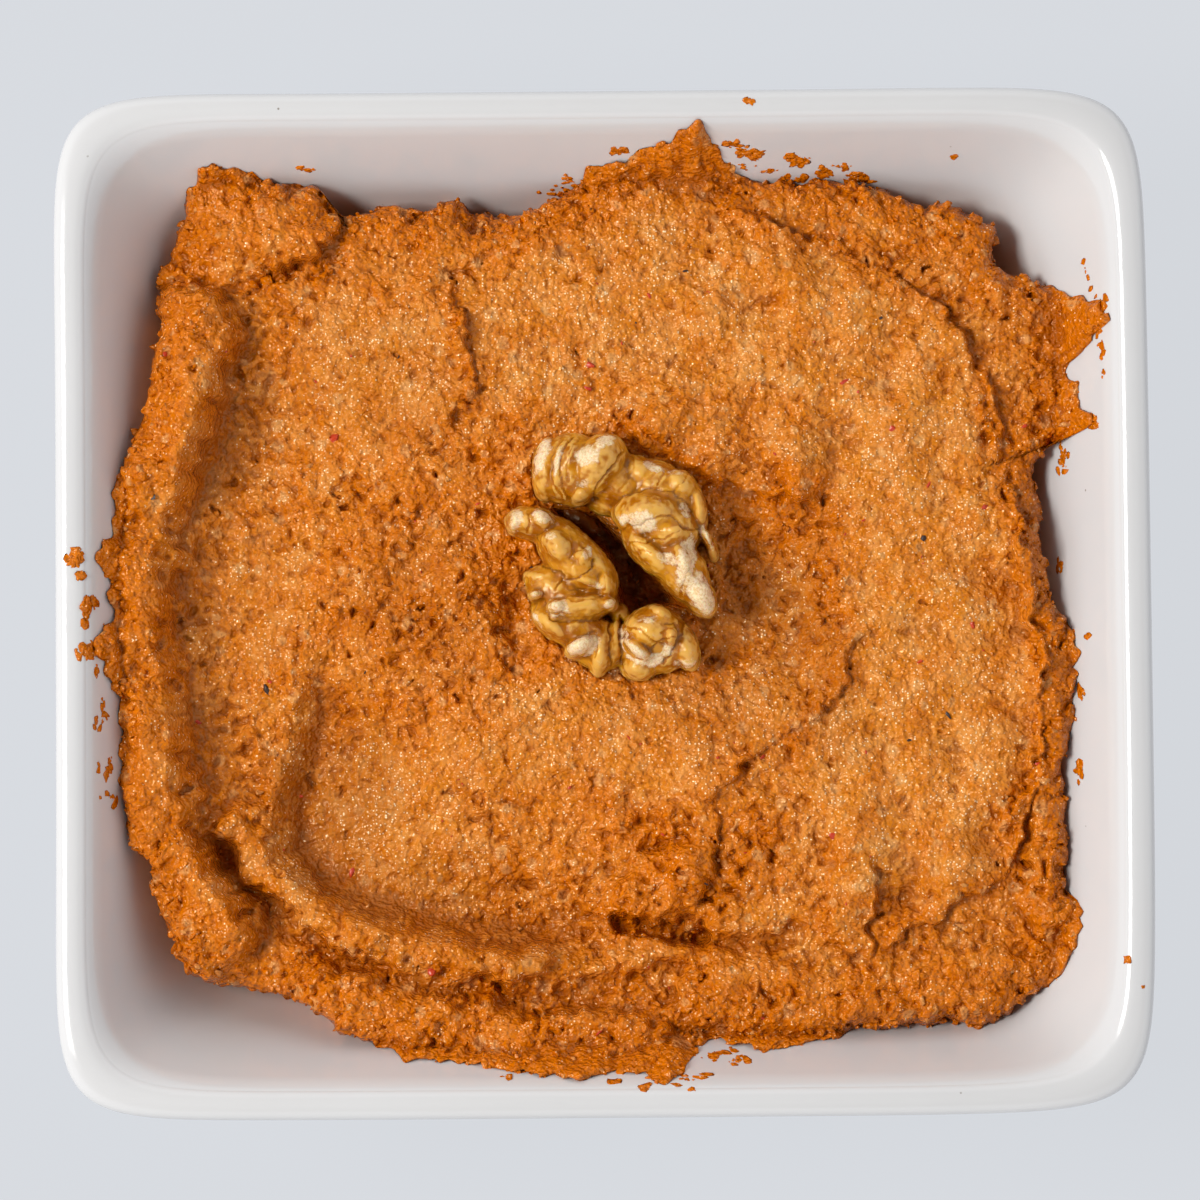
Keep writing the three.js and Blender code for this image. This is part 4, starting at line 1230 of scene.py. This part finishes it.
def scattered(name, places, sizes, turns, fineness, seed, values, material, slot):
    """One mesh of uneven lumps, each with its place, three half sizes and turn."""
    random = np.random.default_rng(seed)
    corners, faces = round_lump(fineness)
    count = len(places)
    uneven = random.uniform(0.72, 1.2, (count, len(corners), 1))
    lump = corners[None] * uneven
    for _ in range(CHIPS):
        way = random.normal(size=(count, 1, 3))
        way /= np.linalg.norm(way, axis=2)[:, :, None]
        over = (lump * way).sum(axis=2)[:, :, None] - random.uniform(0.3, 0.75, (count, 1, 1))
        lump = lump - np.clip(over, 0, None) * way
    lump = turned(lump * sizes[:, None, :], turns) + places[:, None, :]
    all_faces = faces[None] + (np.arange(count) * len(corners))[:, None, None]
    mesh = bpy.data.meshes.new(name)
    mesh.from_pydata((lump.reshape(-1, 3) * MM).tolist(), [], all_faces.reshape(-1, 3).tolist())
    for key, value in values.items():
        set_value(mesh, key, np.repeat(value, len(corners)))
    return finish_piece(name, mesh, material, slot)


def make_grains(name, top, count, size, fineness, seed, chance, material):
    """Grains and clumps of the paste that stand out of it, where chance lets them."""
    random = np.random.default_rng(seed)
    chance = np.clip(chance, 0, None).ravel()
    at = random.choice(len(chance), count, replace=False, p=chance / chance.sum())
    sizes = size * random.uniform(0.4, 1, (count, 1)) ** 1.6 * random.uniform(0.6, 1.4, (count, 3))
    places = np.column_stack([part.ravel()[at] for part in (top.x, top.y, top.z)])
    places[:, :2] += random.uniform(-0.1, 0.1, (count, 2))
    places[:, 2] += sizes.min(axis=1) * random.uniform(-1.0, -0.2, count)
    number = random.uniform(size=count)
    # grains take half of the painted shade of the hollows that they lie in
    values = {
        "crumbly": np.clip(top.crumbly.ravel()[at] + 0.2, 0, 1),
        "tone": random.uniform(0, 1, count), "hollow": top.hollow.ravel()[at] * 0.5,
        "nut": (number < 0.1) * 0.5, "dull": top.dull.ravel()[at],
    }
    turns = random_turns(random, count)
    return scattered(name, places, sizes, turns, fineness, seed + 1, values, material, "orange_dip")


def make_loose_bits(top, material):
    torn = np.clip(top.crumbly, 0.05, 1) ** 2
    edge = np.exp(-((top.inward - 1.4) / 0.8) ** 2)
    clear = kernel_nearness(top.x, top.y) > 0.6
    grain_chance = (0.06 + torn) * clear
    clump_chance = (torn**3 + 1.2 * edge) * clear
    for name, count, size, fineness, seed, chance in (
        ("paste_grains", PASTE_GRAINS, PASTE_GRAIN_SIZE, 1, 201, grain_chance),
        ("paste_clumps", PASTE_CLUMPS, PASTE_CLUMP_SIZE, 2, 211, clump_chance),
    ):
        make_grains(name, top, count, size, fineness, seed, chance, material)
    red, burnt = pepper_flesh(), burnt_skin()
    make_bits("red_pepper_bits", top, PEPPER, PEPPER_COUNT, (1, 0.5, 0.3), 221, red)
    make_bits("dark_specks", top, SPECKS, SPECK_COUNT, (1, 0.6, 0.45), 231, burnt)


def make_bits(name, top, spots, more, form, seed, material):
    """Bits that lie where the photo shows them, and more, smaller ones anywhere."""
    random = np.random.default_rng(seed)
    places = []
    for pixel, length in spots:
        places.append((*on_dip(*pixel), length))
    for _ in range(more):
        x, y = random.uniform(-BITS_SPAN, BITS_SPAN), random.uniform(-BITS_SPAN, BITS_SPAN)
        places.append((x, y, random.uniform(0.4, 0.8)))
    places = np.array(places)
    lengths = places[:, 2].copy()
    for place in places:
        at = np.argmin((top.x - place[0]) ** 2 + (top.y - place[1]) ** 2)
        place[2] = top.z.ravel()[at] + 0.05
    sizes = lengths[:, None] / 2 * np.array(form) * random.uniform(0.8, 1.2, (len(places), 3))
    turns = random_turns(random, len(places), upright=0.25)
    return scattered(name, places, sizes, turns, 2, seed + 1, {}, material, "orange_dip")


def on_wall(column, row):
    """Place on the dish's inner wall that a pixel of the photo's frame shows."""
    pixels = RIM_PIXELS
    for _ in range(6):
        x, y = on_dip(column, row, pixels)
        z = float(wall_height(np.array(x), np.array(y)))
        pixels = RIM_PIXELS * CAMERA_DISTANCE / (CAMERA_DISTANCE + DISH_HEIGHT - z)
    return np.array((x, y, z))


def wall_normal(x, y):
    """Way that the dish's inner wall faces at a place of the plan."""
    rise_x = wall_height(x + SLOPE_STEP, y) - wall_height(x - SLOPE_STEP, y)
    rise_y = wall_height(x, y + SLOPE_STEP) - wall_height(x, y - SLOPE_STEP)
    return Vector((-rise_x, -rise_y, 2 * SLOPE_STEP)).normalized()


def make_wall_crumbs(material):
    """Flat smears and crumbs of the dip that were left on the dish's wall."""
    random = np.random.default_rng(241)
    places, turns, sizes = [], [], []
    for (column, row), along, across, turn, count in WALL_CRUMBS:
        c, s = math.cos(math.radians(turn)), math.sin(math.radians(turn))
        for _ in range(count):
            a, b = random.normal(0, 0.5, 2) * (along, across)
            place = on_wall(column + a * c + b * s, row - a * s + b * c)
            tip = Vector((0, 0, 1)).rotation_difference(wall_normal(*place[:2]))
            spin = Matrix.Rotation(random.uniform(0, 2 * math.pi), 3, "Z").to_quaternion()
            wide = random.uniform(*CRUMB_WIDTH) ** 1.5
            long = wide * random.uniform(*CRUMB_LENGTH)
            places.append(place)
            turns.append((tip @ spin)[:])
            sizes.append((long, wide, random.uniform(*CRUMB_THICKNESS)))
    count = len(places)
    values = {
        "crumbly": np.ones(count), "tone": random.uniform(0, 0.7, count),
        "hollow": np.zeros(count), "nut": np.zeros(count), "dull": np.zeros(count),
    }
    return scattered(
        "wall_crumbs", np.array(places), np.array(sizes), np.array(turns), 2, 242, values,
        material, "orange_dip",
    )


# ---------------------------------------------------------------- the walnut kernel


def kernel_blank():
    """All bulges of the kernel, fused and smoothed into one closed skin, in millimetres."""
    bm = bmesh.new()
    for column, row, along, across, turn, height in KERNEL_BULGES:
        x, y = on_dip(column, row, KERNEL_PIXELS)
        radius = (height + KERNEL_DEPTH) / 2
        place = Matrix.Translation((x, y, DIP_LEVEL - KERNEL_DEPTH + radius))
        place = place @ Matrix.Rotation(math.radians(turn), 4, "Z")
        size = Matrix.Diagonal((along / KERNEL_PIXELS, across / KERNEL_PIXELS, radius, 1))
        bmesh.ops.create_icosphere(bm, subdivisions=3, radius=1, matrix=place @ size)
    blank = bpy.data.objects.new("blank", bm_to_mesh(bm, "blank"))
    bpy.context.scene.collection.objects.link(blank)
    fuse = blank.modifiers.new("fuse", "REMESH")
    fuse.mode = "VOXEL"
    fuse.voxel_size = KERNEL_VOXEL
    soften = blank.modifiers.new("soften", "SMOOTH")
    soften.factor = 0.5
    soften.iterations = 12
    graph = bpy.context.evaluated_depsgraph_get()
    mesh = bpy.data.meshes.new_from_object(blank.evaluated_get(graph))
    bpy.data.objects.remove(blank)
    return mesh


def relaxed(mesh, points, times):
    """The mesh's corners after each has moved to the middle of its neighbours, some times."""
    ends = np.empty(len(mesh.edges) * 2, np.int32)
    mesh.edges.foreach_get("vertices", ends)
    a, b = ends.reshape(-1, 2).T
    count = len(points)
    neighbours = np.bincount(a, minlength=count) + np.bincount(b, minlength=count)
    for _ in range(times):
        total = [
            np.bincount(a, points[b, axis], count) + np.bincount(b, points[a, axis], count)
            for axis in range(3)
        ]
        points = np.column_stack(total) / neighbours[:, None]
    return points


def make_kernel():
    mesh = kernel_blank()
    points = get_points(mesh)
    normals = np.empty(len(points) * 3, np.float32)
    mesh.vertices.foreach_get("normal", normals)
    normals = normals.reshape(-1, 3)
    x, y, z = points.T
    bent_x, bent_y = bent(x, y, *KERNEL_BENDS)
    upward = smoothstep(normals[:, 2], 0.05, 0.5)
    seam = np.zeros(len(points))
    for depth, path in SEAMS:
        line = [on_dip(column, row, KERNEL_PIXELS) for column, row in path]
        away = path_distance(bent_x, bent_y, line)
        seam = np.maximum(seam, depth * (1 - smoothstep(away, 0, SEAM_WIDTH)) * upward)
    scuff = np.zeros(len(points))
    for *spot, pale in SCUFFS:
        away = near_ellipse(bent_x, bent_y, *spot)
        scuff = np.maximum(scuff, pale * (1 - smoothstep(away, 0.6, 1.35)))
    wrinkle = np.array([lumps.fractal(Vector(p) / WRINKLE_SIZE, 1.0, 2.0, 3) for p in points])
    crease = np.array([lumps.noise(Vector(p) / FOLD_SIZE) for p in points])
    fold = np.abs(crease) - 0.25
    push = WRINKLE_DEPTH * wrinkle + FOLD_DEPTH * fold - SEAM_DEPTH * seam
    points = points + normals * push[:, None]
    near = ((relaxed(mesh, points, 6) - points) * normals).sum(axis=1)
    wide = ((relaxed(mesh, points, 40) - points) * normals).sum(axis=1)
    set_points(mesh, points * MM)
    set_value(mesh, "seam", seam)
    set_value(mesh, "scuff", scuff * upward)
    # how much a point lies in a fold, which the skin's colour turns into painted shade
    set_value(mesh, "hollow", np.clip(near / 0.1 + wide / 0.55, -1, 1))
    set_value(mesh, "low", 1 - smoothstep(z - DIP_LEVEL, -2, 6))
    return finish_piece("walnut_kernel", mesh, kernel_skin(), "walnut_skin", "walnut_half")


# ---------------------------------------------------------------- stage, light and camera


def make_floor():
    bm = bmesh.new()
    bmesh.ops.create_grid(bm, x_segments=8, y_segments=8, size=3)
    mesh = bm_to_mesh(bm, "floor")
    mesh.materials.append(floor_finish())
    floor = bpy.data.objects.new("floor", mesh)
    bpy.context.scene.collection.objects.link(floor)


def light_sky():
    """A pale studio all round, dim right overhead."""
    world = bpy.data.worlds.new("studio")
    bpy.context.scene.world = world
    world.use_nodes = True
    nodes, links = world.node_tree.nodes, world.node_tree.links
    sky = nodes["Background"]
    sky.inputs["Color"].default_value = SKY_COLOUR
    way = nodes.new("ShaderNodeSeparateXYZ")
    links.new(nodes.new("ShaderNodeTexCoord").outputs["Generated"], way.inputs[0])
    fade = nodes.new("ShaderNodeMapRange")
    fade.interpolation_type = "SMOOTHSTEP"
    links.new(way.outputs["Z"], fade.inputs["Value"])
    for socket, number in SKY_FADE.items():
        fade.inputs[socket].default_value = number
    links.new(fade.outputs[0], sky.inputs["Strength"])
    bpy.context.scene.view_settings.view_transform = "Standard"


def light_window():
    """A square soft lamp on the left, facing the dip."""
    lamp = bpy.data.lights.new("window", "AREA")
    lamp.size = WINDOW_SIZE
    lamp.energy = WINDOW_POWER
    lamp.color = WINDOW_COLOUR
    light = bpy.data.objects.new("window", lamp)
    back = Vector(WINDOW_TOWARDS).normalized()
    light.location = Vector((0, 0, DIP_LEVEL * MM)) + back * WINDOW_DISTANCE
    light.rotation_euler = back.to_track_quat("Z", "Y").to_euler()
    bpy.context.scene.collection.objects.link(light)


def make_camera():
    lens = bpy.data.cameras.new("camera")
    lens.sensor_width = CAMERA_SENSOR
    lens.lens = CAMERA_SENSOR * CAMERA_DISTANCE / (FRAME_SIZE / RIM_PIXELS)
    lens.clip_start = 0.05
    camera = bpy.data.objects.new("camera", lens)
    bpy.context.scene.collection.objects.link(camera)
    turn = Matrix.Rotation(math.radians(CAMERA_TILT), 4, "X")
    roll = Matrix.Rotation(math.radians(CAMERA_ROLL), 4, "Z")
    away = turn @ Vector((0, 0, CAMERA_DISTANCE * MM))
    camera.matrix_world = Matrix.Translation(Vector(AIM) * MM + away) @ turn @ roll
    bpy.context.scene.camera = camera


# ---------------------------------------------------------------- everything together

make_camera()
light_sky()
light_window()
make_floor()
make_dish()
dip_top = DipTop()
dip_paste = paste()
make_dip(dip_top, dip_paste)
make_loose_bits(dip_top, dip_paste)
make_wall_crumbs(dip_paste)
make_kernel()
